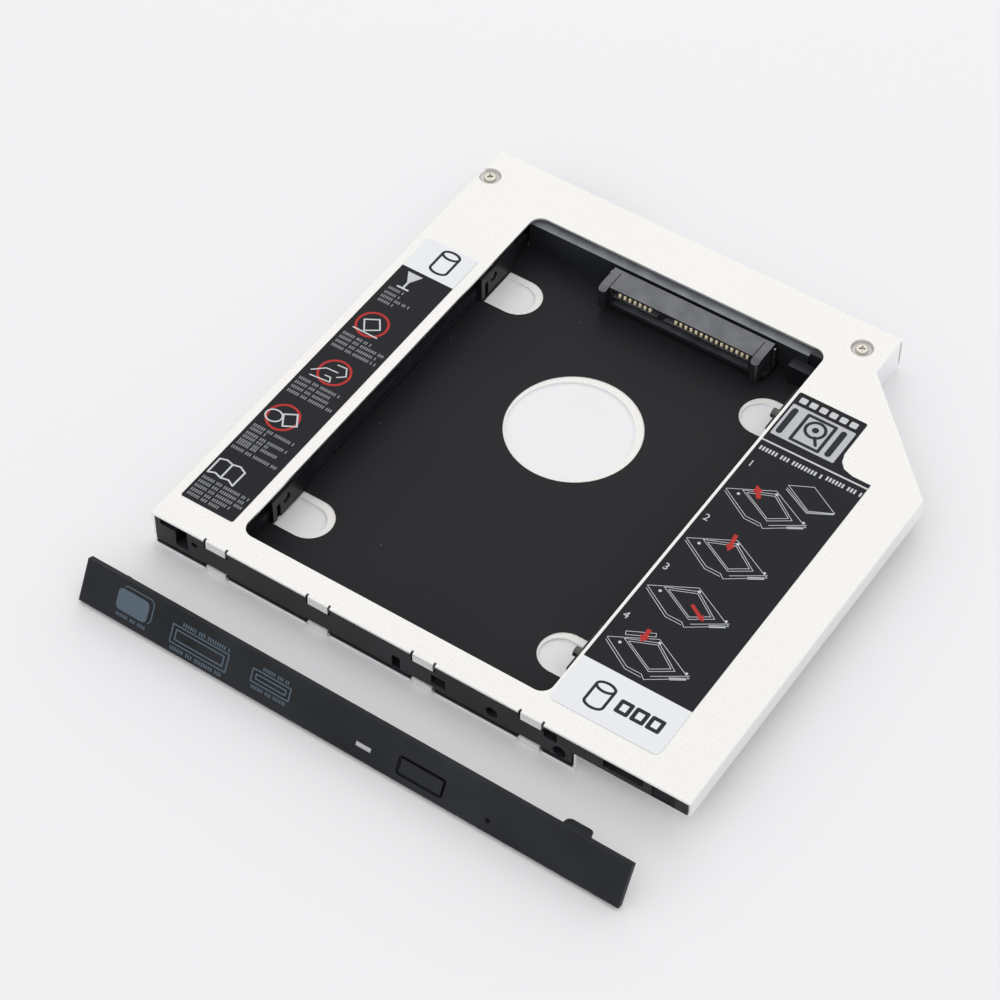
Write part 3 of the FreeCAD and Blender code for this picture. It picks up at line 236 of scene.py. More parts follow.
class Surface:
    """The surface shader of one material and the pattern nodes that feed it."""

    def __init__(self, material: Material, settings: Mapping[str, Any]) -> None:
        """Starts the material's node tree anew.

        Args:
            material: The material to work on.
            settings: The shader's values by socket name.
        """
        material.use_nodes = True
        self.tree = material.node_tree
        self.tree.nodes.clear()
        self.shader = self.add("ShaderNodeBsdfPrincipled", settings)
        self.add("ShaderNodeOutputMaterial", links={"Surface": self.shader.outputs["BSDF"]})
        coordinates = self.add("ShaderNodeTexCoord")
        self.points = coordinates.outputs["Object"]
        self.facing = coordinates.outputs["Normal"]

    def add(self, kind: str, settings: Mapping | None = None, links: Mapping | None = None) -> Node:
        """Adds one node.

        Args:
            kind: The node's type name.
            settings: Values by socket name or number, or by the name of another property.
            links: Output sockets by the name or number of the input that they feed.

        Returns:
            The node.
        """
        node = self.tree.nodes.new(kind)
        for name, value in (settings or {}).items():
            if isinstance(name, int) or name in node.inputs:
                node.inputs[name].default_value = value
            else:
                setattr(node, name, value)
        for name, source in (links or {}).items():
            self.tree.links.new(source, node.inputs[name])
        return node

    def feed(self, name: str, source: NodeSocket) -> None:
        """Links a socket to the named input of the surface shader."""
        self.tree.links.new(source, self.shader.inputs[name])

    def pattern(self, kind: str, size: float, **settings: Any) -> Node:
        """Adds a texture with a real size.

        Args:
            kind: The texture node's type name.
            size: Length that one unit of the texture takes, in millimetres.
            **settings: The node's other values.

        Returns:
            The texture node.
        """
        return self.add(kind, {**settings, "Scale": 1.0 / (size * MM)}, {"Vector": self.points})

    def noise(self, size: float, detail: float = 2.0) -> NodeSocket:
        """Gives a soft random pattern.

        Args:
            size: Grain size in millimetres.
            detail: Number of finer layers.

        Returns:
            A factor from zero to one.
        """
        return self.pattern("ShaderNodeTexNoise", size, Detail=detail).outputs["Fac"]

    def spread(self, value: NodeSocket, source: Point, target: Point) -> NodeSocket:
        """Maps a value from one range to another.

        Args:
            value: The socket to map.
            source: Lowest and highest value that comes in.
            target: What these become.

        Returns:
            The mapped socket.
        """
        limits = dict(zip(("From Min", "From Max", "To Min", "To Max"), source + target))
        return self.add("ShaderNodeMapRange", limits, {"Value": value}).outputs["Result"]

    def blend(self, factor: NodeSocket, low: Shade, high: Shade) -> NodeSocket:
        """Blends two colours, each given as sRGB hex or as a socket.

        Args:
            factor: Zero gives the first colour, one the second.
            low: First colour.
            high: Second colour.

        Returns:
            The blended colour socket.
        """
        settings: dict[str | int, Any] = {"data_type": "RGBA"}
        links: dict[str | int, NodeSocket] = {"Factor": factor}
        for place, colour in zip(MIX_COLOURS, (low, high)):
            if isinstance(colour, str):
                settings[place] = linear(colour)
            else:
                links[place] = colour
        return self.add("ShaderNodeMix", settings, links).outputs[MIX_RESULT]

    def flatness(self) -> NodeSocket:
        """Gives one on level faces and zero on upright ones."""
        normal = self.add("ShaderNodeSeparateXYZ", links={"Vector": self.facing})
        upward = self.add(
            "ShaderNodeMath", {"operation": "ABSOLUTE"}, {"Value": normal.outputs["Z"]})
        return self.spread(upward.outputs["Value"], (0.6, LEVEL), ALL)

    def bump(self, height: NodeSocket, relief: Point) -> None:
        """Gives the surface relief of a real depth.

        Args:
            height: Relief from zero to one.
            relief: Its depth in millimetres and how much of it shows.
        """
        depth, strength = relief
        node = self.add(
            "ShaderNodeBump", {"Distance": depth * MM, "Strength": strength}, {"Height": height})
        self.feed("Normal", node.outputs["Normal"])


@dataclass(frozen=True)
class Finish:
    """What a surface is made of, with the values that its material needs."""

    name: str
    colour: str
    roughness: float = 0.5
    metallic: float = 0.0
    shine: float = 0.5

    def material(self) -> Material:
        """Gives this finish's material, made on first use.

        Returns:
            The node material.
        """
        found = bpy.data.materials.get(self.name)
        if found is not None:
            return found
        made = bpy.data.materials.new(self.name)
        self.detail(Surface(made, {
            "Base Color": linear(self.colour), "Roughness": self.roughness,
            "Metallic": self.metallic, "Specular IOR Level": self.shine,
        }))
        return made

    def detail(self, surface: Surface) -> None:
        """Adds the pattern nodes of the finish.

        Args:
            surface: The surface to feed.
        """
        raise NotImplementedError


@dataclass(frozen=True)
class BlastedSheet(Finish):
    """Thin aluminium sheet: blasted faces are pale and soft, folded and cut edges keep a gloss."""

    grain: float = 0.16
    relief: Point = (0.004, 0.35)
    cloud: float = 24.0
    cloud_gloss: Point = (-0.03, 0.04)
    speck_spacing: float = 1.15
    speck_size: Point = (0.09, 0.15)
    speck_scatter: float = 0.7
    speck_colour: str = "#E5E3DE"
    edge_colour: str = "#F6F6F7"
    edge_roughness: float = 0.3
    edge_metallic: float = 0.8
    dimples: tuple[Point, ...] = SCREW_PLACES
    dimple_level: float = 9.0
    dimple_radius: float = 2.5
    # Painted shade for the screw dimples: its colour, its strength ramp, and where it starts and
    # ends as shares of the dimple's radius.
    dimple_colour: str = "#8E8B87"
    rub: Point = (0.1, 0.75)
    rub_start: float = 0.6
    rub_end: float = 1.03

    def detail(self, surface: Surface) -> None:
        """Adds grain and pits on the flat faces, painted shade in the screw dimples and the rolled
        gloss on the upright ones.
        """
        flat = surface.flatness()
        specks = surface.pattern("ShaderNodeTexVoronoi", self.speck_spacing,
                                 voronoi_dimensions="2D", Randomness=self.speck_scatter)
        pits = surface.spread(specks.outputs["Distance"], self.speck_size, (1.0, 0.0))
        blasted = surface.blend(pits, self.colour, self.speck_colour)
        # Painted shade: each screw dimple is darkened towards its wall in place of the wall's dark
        # reflection.
        for x, y in self.dimples:
            blasted = self.burnish(surface, tray(x, y, self.dimple_level), blasted)
        surface.feed("Base Color", surface.blend(flat, self.edge_colour, blasted))
        clouds = surface.spread(surface.noise(self.cloud), NOISE_RANGE, self.cloud_gloss)
        rough = surface.spread(flat, ALL, (self.edge_roughness, self.roughness))
        total = surface.add("ShaderNodeMath", {"operation": "ADD"}, {0: clouds, 1: rough})
        surface.feed("Roughness", total.outputs["Value"])
        surface.feed("Metallic", surface.spread(flat, ALL, (self.edge_metallic, self.metallic)))
        surface.bump(surface.noise(self.grain), self.relief)

    def burnish(self, surface: Surface, centre: Vector, colour: NodeSocket) -> NodeSocket:
        """Paints shade into a pressed dimple, darker towards its wall, standing in for the dark
        reflection on that wall.

        Args:
            surface: The sheet's surface.
            centre: Middle of the dimple.
            colour: Colour of the sheet around it.

        Returns:
            The colour socket.
        """
        distance = surface.add("ShaderNodeVectorMath", {"operation": "DISTANCE", 1: centre},
                               {0: surface.points}).outputs["Value"]
        edge = self.dimple_radius * MM
        wall_shade = surface.spread(distance, (edge * self.rub_start, edge), self.rub)
        inside = surface.spread(distance, (edge, edge * self.rub_end), (1.0, 0.0))
        share = surface.add("ShaderNodeMath", {"operation": "MULTIPLY"}, {0: wall_shade, 1: inside})
        return surface.blend(share.outputs["Value"], colour, self.dimple_colour)


@dataclass(frozen=True)
class PolyesterFilm(Finish):
    """Satin polyester film: nearly flat, with a faint orange peel and a little dust."""

    peel: float = 2.2
    relief: Point = (0.01, 0.12)
    cloud: float = 30.0
    cloud_gloss: float = 0.03
    dust_spacing: float = 5.0
    dust_size: Point = (0.02, 0.03)
    dust_colour: str = "#6A6C6F"

    def detail(self, surface: Surface) -> None:
        """Adds the peel, dust and slow changes of gloss."""
        dust = surface.pattern("ShaderNodeTexVoronoi", self.dust_spacing)
        dots = surface.spread(dust.outputs["Distance"], self.dust_size, (1.0, 0.0))
        surface.feed("Base Color", surface.blend(dots, self.colour, self.dust_colour))
        gloss = (self.roughness - self.cloud_gloss, self.roughness + self.cloud_gloss)
        surface.feed("Roughness", surface.spread(surface.noise(self.cloud), NOISE_RANGE, gloss))
        surface.bump(surface.noise(self.peel), self.relief)


@dataclass(frozen=True)
class MouldedPlastic(Finish):
    """Injection-moulded plastic from a spark-eroded mould: matt, with a fine even grain.

    Level faces can carry a painted highlight: paler, with blotches of painted reflection.
    """

    grain: float = 0.28
    relief: Point = (0.012, 0.5)
    flow: float = 18.0
    flow_range: Point = (0.35, 0.75)
    flow_share: float = 0.35
    lighter: str = "#3A3D41"
    # Painted highlight on level faces: its pale and dim colours, and the size and spread of its
    # blotches.
    upper_colour: str = ""
    upper_shade: str = ""
    blotch: float = 4.0
    blotch_range: Point = (0.35, 0.65)
    layers: float = 3.0

    def detail(self, surface: Surface) -> None:
        """Adds the grain, a faint flow mottle and the painted highlight on level faces."""
        flow = surface.spread(surface.noise(self.flow), self.flow_range, (0.0, self.flow_share))
        colour = surface.blend(flow, self.colour, self.lighter)
        # Painted highlight: level faces get a paler colour, blotched with painted reflection, as if
        # lit from above.
        if self.upper_colour:
            highlight_blotches = surface.noise(self.blotch, self.layers)
            top_highlight = surface.blend(surface.spread(highlight_blotches, self.blotch_range, ALL),
                                  self.upper_shade, self.upper_colour)
            colour = surface.blend(surface.flatness(), colour, top_highlight)
        surface.feed("Base Color", colour)
        surface.bump(surface.noise(self.grain, self.layers), self.relief)


@dataclass(frozen=True)
class PlatedMetal(Finish):
    """Electroplated small metal part: smooth, with a slightly uneven gloss."""

    uneven: float = 0.6
    uneven_gloss: Point = (-0.06, 0.08)
    relief: Point = (0.004, 0.3)

    def detail(self, surface: Surface) -> None:
        """Adds the uneven gloss and a fine relief."""
        gloss = (self.roughness + self.uneven_gloss[0], self.roughness + self.uneven_gloss[1])
        surface.feed("Roughness", surface.spread(surface.noise(self.uneven), NOISE_RANGE, gloss))
        surface.bump(surface.noise(self.uneven / 3), self.relief)


@dataclass(frozen=True)
class SolderMask(Finish):
    """Glass-fibre board under solder mask: the weave shows faintly through the lacquer."""

    weave: float = 3.3
    weave_slip: float = 0.4
    relief: Point = (0.006, 0.3)

    def detail(self, surface: Surface) -> None:
        """Adds the weave's relief."""
        wave = surface.pattern("ShaderNodeTexWave", self.weave, Distortion=self.weave_slip)
        surface.bump(wave.outputs["Fac"], self.relief)


@dataclass(frozen=True)
class PrintInk(Finish):
    """Screen-printed ink: flat and matt, a little uneven in cover."""

    shine: float = 0.16
    thin: str = "#B9BBBD"
    cover: float = 0.5
    cover_range: Point = (0.45, 0.9)
    thin_share: float = 0.4

    def detail(self, surface: Surface) -> None:
        """Adds the uneven cover."""
        cover = surface.spread(surface.noise(self.cover), self.cover_range, (0.0, self.thin_share))
        surface.feed("Base Color", surface.blend(cover, self.colour, self.thin))


class Finishes(Enum):
    """Every finish on the object."""

    SHEET = BlastedSheet("blasted_aluminium_sheet", "#F2F0ED", 0.6, 0.14)
    FILM = PolyesterFilm("black_polyester_film", "#202124", 0.55, shine=0.16)
    # The upper colours of the frame, bar and connector are painted highlight on their level faces.
    FRAME = MouldedPlastic("black_moulded_frame", "#0D0F12", 0.4, shine=0.25,
                           upper_colour="#2E3034", upper_shade="#202226")
    BAR = MouldedPlastic("black_moulded_bar", "#1C1E21", 0.42,
                         upper_colour="#85888D", upper_shade="#6E7176")
    BEZEL = MouldedPlastic("charcoal_textured_bezel", "#17191D", 0.55, shine=0.2,
                           grain=0.35, relief=(0.02, 0.5))
    CONNECTOR = MouldedPlastic("black_connector_polymer", "#1C1D20", 0.3, shine=0.6,
                               grain=0.2, relief=(0.006, 0.5),
                               upper_colour="#5C5E63", upper_shade="#47494D")
    GOLD = PlatedMetal("gold_plated_contact", "#FFF0CE", 0.4, 0.35)
    NICKEL = PlatedMetal("nickel_plated_steel", "#C4BFB6", 0.3, 1.0)
    TIN = PlatedMetal("tinned_steel_lock", "#8F9194", 0.4, 1.0)
    BLACK_OXIDE = PlatedMetal("blackened_steel_screw", "#5C5A57", 0.38, 1.0)
    BOARD = SolderMask("black_solder_mask", "#121614", 0.35)
    CHIP = PrintInk("fired_chip_ceramic", "#8A7358", shine=0.5, thin="#9C866B")
    LAMP = MouldedPlastic("frosted_lamp_plastic", "#B4B6BB", 0.45, lighter="#C4C6CA")
    LABEL = PolyesterFilm("black_laminated_label", "#202125", shine=0.12, dust_spacing=9.0)
    PALE_FIELD = PrintInk("pale_printed_field", "#E6E8EC", thin="#ECEEF0")
    PALE_INK = PrintInk("pale_print", "#C9CBCE", thin="#A9ABAE")
    SILVER_INK = PrintInk("silver_print", "#B9BBC0", thin="#C9CBCF")
    BLUE_INK = PrintInk("blue_grey_print", "#566470", 0.55, thin="#46525C")
    GREY_INK = PrintInk("grey_print", "#8A8C8F", thin="#6C6E71")
    RED_INK = PrintInk("red_print", "#B5302C", thin="#9C2C2A")
    DARK_INK = PrintInk("dark_print", "#26282B", thin="#323437")

    @property
    def material(self) -> Material:
        """The node material of this finish."""
        return self.value.material()


NODES_BY_FINISH: dict[Finishes, tuple[str, ...]] = {
    Finishes.SHEET: ("top_cover", "base_plate"),
    Finishes.FILM: ("insulating_film",),
    Finishes.FRAME: ("moulded_frame",),
    Finishes.BAR: ("rear_bar",),
    Finishes.BOARD: ("adapter_board",),
    Finishes.CONNECTOR: ("receptacle_housing", "host_plug_housing"),
    Finishes.GOLD: ("signal_contacts", "power_contacts", "host_plug_contacts"),
    Finishes.TIN: ("board_locks",),
    Finishes.CHIP: ("board_capacitors",),
    Finishes.NICKEL: ("base_screws",),
    Finishes.BLACK_OXIDE: ("drive_screws",),
    Finishes.BEZEL: ("bezel", "eject_button"),
    Finishes.LAMP: ("led_window",),
}


def dress_nodes() -> None:
    """Gives every solid that stays in view its finish."""
    for finish, names in NODES_BY_FINISH.items():
        for name in names:
            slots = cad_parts[name].data.materials
            slots.clear()
            slots.append(finish.material)
            LOG.info("node %s wears %s", name, finish.value.name)


def present(obj: Object, name: str, finish: Finishes, body: Body) -> Object:
    """Names a finished piece, dresses it and puts it on its body.

    Args:
        obj: The piece, with its place in its mesh.
        name: Its name.
        finish: Its finish.
        body: The body that it moves with.

    Returns:
        The piece.
    """
    obj.name = name
    obj.data.name = name
    obj.data.materials.clear()
    obj.data.materials.append(finish.material)
    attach(obj, body.value)
    LOG.info("piece %s rides on %s", name, body.value)
    return obj


@dataclass
class PrintLayer:
    """Flat printed shapes of one ink, gathered into one piece. Places are tray millimetres.

    The heights alternate a little from shape to shape, so that crossing strokes share no face.
    """

    height: float
    thickness: float = 0.012
    parts: list[Object] = field(default_factory=list)
    sheet: Matrix = field(default_factory=Matrix)
    height_steps: int = 5
    height_step: float = 0.001
    pen_round: float = 0.49
    corner_steps: int = 4
    ring_corners: int = 56
    arc_steps: int = 14
    word_lengths: tuple[int, ...] = (6, 3, 8, 5, 7, 4)
    word_gap: float = 0.5
    tick_width: float = 0.36
    tick_pitch: float = 0.64
    type_size: float = 1.4

    def place(self, x: float, y: float) -> Vector:
        """Gives the next shape's place in metres, at a height of its own."""
        step = len(self.parts) % self.height_steps
        return tray(x, y, self.height + step * self.height_step)

    def bar(self, start: Point, end: Point, width: float, rounded: bool = True) -> None:
        """Prints a straight bar.

        Args:
            start: Middle of one end.
            end: Middle of the other end.
            width: Width of the bar.
            rounded: Whether its ends are round like a pen's stroke.
        """
        run = Vector((end[0] - start[0], end[1] - start[1]))
        length = run.length + (width if rounded else 0.0)
        middle = self.place((start[0] + end[0]) / 2, (start[1] + end[1]) / 2)
        obj = block(middle, (length, width, self.thickness), math.atan2(run.y, run.x))
        if rounded:
            round_edges(obj, upright, width * self.pen_round, self.corner_steps)
        self.parts.append(obj)

    def path(self, points: Sequence[Point], width: float, closed: bool = False) -> None:
        """Prints a stroke through points.

        Args:
            points: The points in order.
            width: Stroke width.
            closed: Whether the last point joins the first.
        """
        ends = list(points[1:]) + ([points[0]] if closed else [])
        for start, end in zip(points, ends):
            self.bar(start, end, width)

    def patch(
        self, left_front: Point, right_rear: Point, corner: float = 0.0, rear_corners: bool = True
    ) -> None:
        """Prints a filled rectangle.

        Args:
            left_front: Its left front corner.
            right_rear: Its right rear corner.
            corner: Corner radius, or zero.
            rear_corners: Whether the rear corners are rounded too.
        """
        left, front = left_front
        right, rear = right_rear
        middle = self.place((left + right) / 2, (front + rear) / 2)
        obj = block(middle, (right - left, rear - front, self.thickness))
        if corner:
            limit = math.inf if rear_corners else middle.y
            round_edges(obj, lambda edge: upright(edge) and edge.verts[0].co.y < limit,
                        corner, self.corner_steps)
        self.parts.append(obj)

    def ring(self, centre: Point, radii: Point, width: float) -> None:
        """Prints an oval ring.

        Args:
            centre: Middle of the ring.
            radii: Half its width and half its height.
            width: Stroke width.
        """
        outer = (radii[0] + width / 2, radii[1] + width / 2)
        obj = drum(self.place(*centre), outer, self.thickness, self.ring_corners)
        edit(obj, "FACE", lambda face: abs(face.normal.z) > LEVEL)
        bpy.ops.mesh.inset(thickness=width * MM)
        bpy.ops.mesh.bridge_edge_loops()
        bpy.ops.mesh.select_all(action="SELECT")
        bpy.ops.mesh.normals_make_consistent(inside=False)
        leave_edit()
        self.parts.append(obj)

    def disc(self, centre: Point, radius: float, corners: int = 40, turn: float = 0.0) -> None:
        """Prints a filled disc, or a shape with a few corners.

        Args:
            centre: Middle of the disc.
            radius: Its radius.
            corners: Number of corners.
            turn: Turn in degrees.
        """
        self.parts.append(drum(
            self.place(*centre), (radius, radius), self.thickness, corners, math.radians(turn)))

    def lower_half(self, centre: Point, radii: Point, width: float) -> None:
        """Prints the front half of an oval ring.

        Args:
            centre: Middle of the ring.
            radii: Half its width and half its height.
            width: Stroke width.
        """
        turns = [math.pi + math.pi * i / self.arc_steps for i in range(self.arc_steps + 1)]
        x, y = centre
        self.path([(x + radii[0] * math.cos(t), y + radii[1] * math.sin(t)) for t in turns], width)

    def words(self, left: float, right: float, middle: float, height: float) -> None:
        """Prints groups of small upright ticks in place of a line of words.

        Args:
            left: Left end of the row.
            right: Right end of the row.
            middle: Place of the row from front to back.
            height: Height of the ticks.
        """
        tick = height * self.tick_width
        pitch = height * self.tick_pitch
        start = left
        for letters in itertools.cycle(self.word_lengths):
            count = min(letters, int((right - start - tick) / pitch) + 1)
            if count < 1:
                break
            self.bar((start, middle), (start + tick, middle), height, rounded=False)
            modify(self.parts[-1], "ARRAY", count=count, use_relative_offset=False,
                   use_constant_offset=True, constant_offset_displace=(pitch * MM, 0.0, 0.0))
            start += count * pitch + height * self.word_gap

    def number(self, digits: str, corner: Point, height: float) -> None:
        """Prints a plain number.

        Args:
            digits: The number's digits.
            corner: Its lower left corner.
            height: Height of the digits.
        """
        bpy.ops.object.text_add(location=(0, 0, 0))
        obj = bpy.context.object
        obj.data.body = digits
        obj.data.size = height * MM * self.type_size
        obj.data.extrude = self.thickness * MM / 2
        pick(obj)
        bpy.ops.object.convert(target="MESH")
        obj = bpy.context.object
        obj.location = self.place(*corner)
        settle(obj)
        self.parts.append(obj)

    def gather(
        self, name: str, finish: Finishes, body: Body = Body.CADDY, slot: str = "label_film"
    ) -> None:
        """Joins the shapes into one piece and lays it on its sheet.

        Args:
            name: The piece's name.
            finish: Its ink.
            body: The body that it moves with.
            slot: Not used; the record's material slot.
        """
        piece = join(self.parts)
        piece.matrix_world = self.sheet
        settle(piece)
        present(piece, name, finish, body)


@dataclass
class LabelStock:
    """A label's own film, shaped over its solid. Sizes are millimetres."""

    node: str
    top: float = 9.56
    solid_top: float = 9.55
    front_corner: float = 0.5
    rear_corner: float = 0.5
    corner_steps: int = 5
    merge: float = 0.02
    rear_depth: float = 0.01
    straight: float = 2.0

    def build(self) -> None:
        """Copies the solid's outline as one clean film with soft corners."""
        obj = copy_of(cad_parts[self.node])
        pick(obj)
        bpy.ops.object.mode_set(mode="EDIT")
        bpy.ops.mesh.select_all(action="SELECT")
        bpy.ops.mesh.remove_doubles(threshold=self.merge * MM)
        bpy.ops.mesh.dissolve_limited(angle_limit=math.radians(self.straight))
        leave_edit()
        for vertex in obj.data.vertices:
            if vertex.co.z > self.solid_top * MM:
                vertex.co.z = self.top * MM
        middle = sum(vertex.co.y for vertex in obj.data.vertices) / len(obj.data.vertices)
        round_edges(obj, lambda edge: upright(edge) and edge.verts[0].co.y < middle,
                    self.front_corner, self.corner_steps)
        rear = max(vertex.co.y for vertex in obj.data.vertices) - self.rear_depth * MM
        round_edges(obj, lambda edge: upright(edge) and edge.verts[0].co.y > rear,
                    self.rear_corner, self.corner_steps)
        piece = present(obj, self.node + "_film", Finishes.LABEL, Body.CADDY)
        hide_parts(self.node)


@dataclass
class PrintedLabel:
    """What both labels share: the heights of their print and the drive sign."""

    ink_height: float = 9.567
    sign_height: float = 9.585
    drum_radii: Point = (2.1, 1.08)
    drum_stroke: float = 0.62

    def ground(self) -> PrintLayer:
        """Gives a layer for print straight on the film."""
        return PrintLayer(self.ink_height)

    def over(self) -> PrintLayer:
        """Gives a layer for print that can lie over other print."""
        return PrintLayer(self.sign_height)

    def draw_drive_sign(self, layer: PrintLayer, top: Point, drop: float) -> None:
        """Draws the upright drum that stands for a drive.

        Args:
            layer: The ink.
            top: Middle of the upper oval.
            drop: Height of the drum below it.
        """
        x, y = top
        layer.ring(top, self.drum_radii, self.drum_stroke)
        for side in (x - self.drum_radii[0], x + self.drum_radii[0]):
            layer.bar((side, y), (side, y - drop), self.drum_stroke)
        layer.lower_half((x, y - drop), self.drum_radii, self.drum_stroke)


@dataclass
class LeftLabel(PrintedLabel):
    """Narrow label on the left: a pale field with a drive sign, plain signs and rows of bars."""

    left: float = 2.3
    right: float = 15.4
    field_front: float = 85.6
    rear: float = 95.3
    tick_height: float = 0.8
    ring_radius: float = 3.5
    ring_width: float = 0.55
    rings: tuple[Point, ...] = ((7.2, 67.3), (8.6, 51.6), (7.1, 35.5))
    rows: tuple[Triple, ...] = (
        (78.4, 3.7, 7.6), (76.9, 3.7, 7.5), (75.6, 3.7, 10.4), (74.3, 3.8, 7.8),
        (62.2, 3.3, 10.0), (60.9, 3.3, 14.9), (59.5, 3.3, 13.5), (58.1, 3.3, 13.9),
        (46.6, 3.2, 13.4), (45.2, 3.2, 12.0), (43.8, 3.2, 12.8), (42.4, 3.2, 14.6),
        (30.6, 3.2, 13.3), (29.5, 3.2, 7.0), (28.1, 3.2, 13.3), (27.0, 3.2, 9.6),
        (25.8, 3.2, 12.8), (24.9, 3.2, 8.0), (23.4, 3.0, 14.4),
        (13.5, 3.0, 14.2), (12.2, 3.0, 14.6), (10.9, 3.0, 14.8), (9.6, 3.0, 12.2), (8.4, 3.0, 10.8),
    )
    book_top: tuple[Point, ...] = ((3.1, 19.2), (4.6, 19.7), (6.3, 19.3), (8.0, 19.7), (9.7, 18.9))
    book_foot: tuple[Point, ...] = ((3.1, 15.0), (4.6, 15.6), (6.3, 15.1), (8.0, 15.5), (9.6, 14.7))
    page: float = 0.38
    spine: float = 0.42

    def build(self) -> None:
        """Builds the film and its print."""
        LabelStock("left_label").build()
        pale = self.ground()
        pale.patch((self.left, self.field_front), (self.right, self.rear))
        pale.gather("left_label_pale_field", Finishes.PALE_FIELD)
        dark = self.over()
        self.draw_drive_sign(dark, (9.7, 93.4), 4.9)
        dark.gather("left_label_dark_print", Finishes.DARK_INK)
        grey = self.ground()
        for middle, start, stop in self.rows:
            grey.words(start, stop, middle, self.tick_height)
        grey.gather("left_label_grey_print", Finishes.GREY_INK)
        red = self.ground()
        for centre in self.rings:
            red.ring(centre, (self.ring_radius, self.ring_radius), self.ring_width)
        red.gather("left_label_red_print", Finishes.RED_INK)
        signs = self.over()
        self.draw_goblet(signs)
        self.draw_ring_signs(signs)
        self.draw_book(signs)
        signs.gather("left_label_pale_print", Finishes.PALE_INK)

    def draw_goblet(self, layer: PrintLayer) -> None:
        """Draws a goblet as a cone on a stem."""
        layer.disc((6.4, 83.5), 2.2, corners=3, turn=180.0)
        layer.bar((5.1, 79.7), (7.7, 79.7), 0.45)
        layer.bar((6.4, 79.8), (6.4, 82.6), 0.5)

    def draw_ring_signs(self, layer: PrintLayer) -> None:
        """Draws the plain shapes inside the three red rings.

        Args:
            layer: The pale ink.
        """
        x, y = self.rings[0]
        layer.path(
            [(x - 2.3, y + 0.4), (x + 0.5, y + 2.1), (x + 2.3, y - 0.4), (x - 0.5, y - 2.3)],
            0.35, True)
        layer.bar((x - 3.0, y - 2.7), (x + 3.0, y - 2.7), 0.35)
        x, y = self.rings[1]
        for stroke in (
            [(x - 4.6, y - 1.9), (x - 2.2, y + 0.2), (x + 0.6, y + 0.4)],
            [(x - 4.0, y - 3.2), (x + 0.7, y - 2.7), (x + 0.1, y - 1.5), (x - 1.2, y - 1.6)],
            [(x - 0.6, y + 2.2), (x + 1.5, y + 2.4), (x + 2.7, y + 0.4), (x + 1.2, y - 0.8)],
        ):
            layer.path(stroke, 0.3)
        x, y = self.rings[2]
        layer.path(
            [(x - 0.4, y + 0.8), (x + 2.1, y + 2.3), (x + 3.9, y - 0.5), (x + 1.3, y - 2.0)],
            0.38, True)
        layer.ring((x - 1.9, y - 0.6), (1.9, 1.6), 0.35)

    def draw_book(self, layer: PrintLayer) -> None:
        """Draws an open book in outline."""
        layer.path(self.book_top, self.page)
        layer.path(self.book_foot, self.page)
        for top, foot in list(zip(self.book_top, self.book_foot))[::2]:
            layer.bar(top, foot, self.spine)


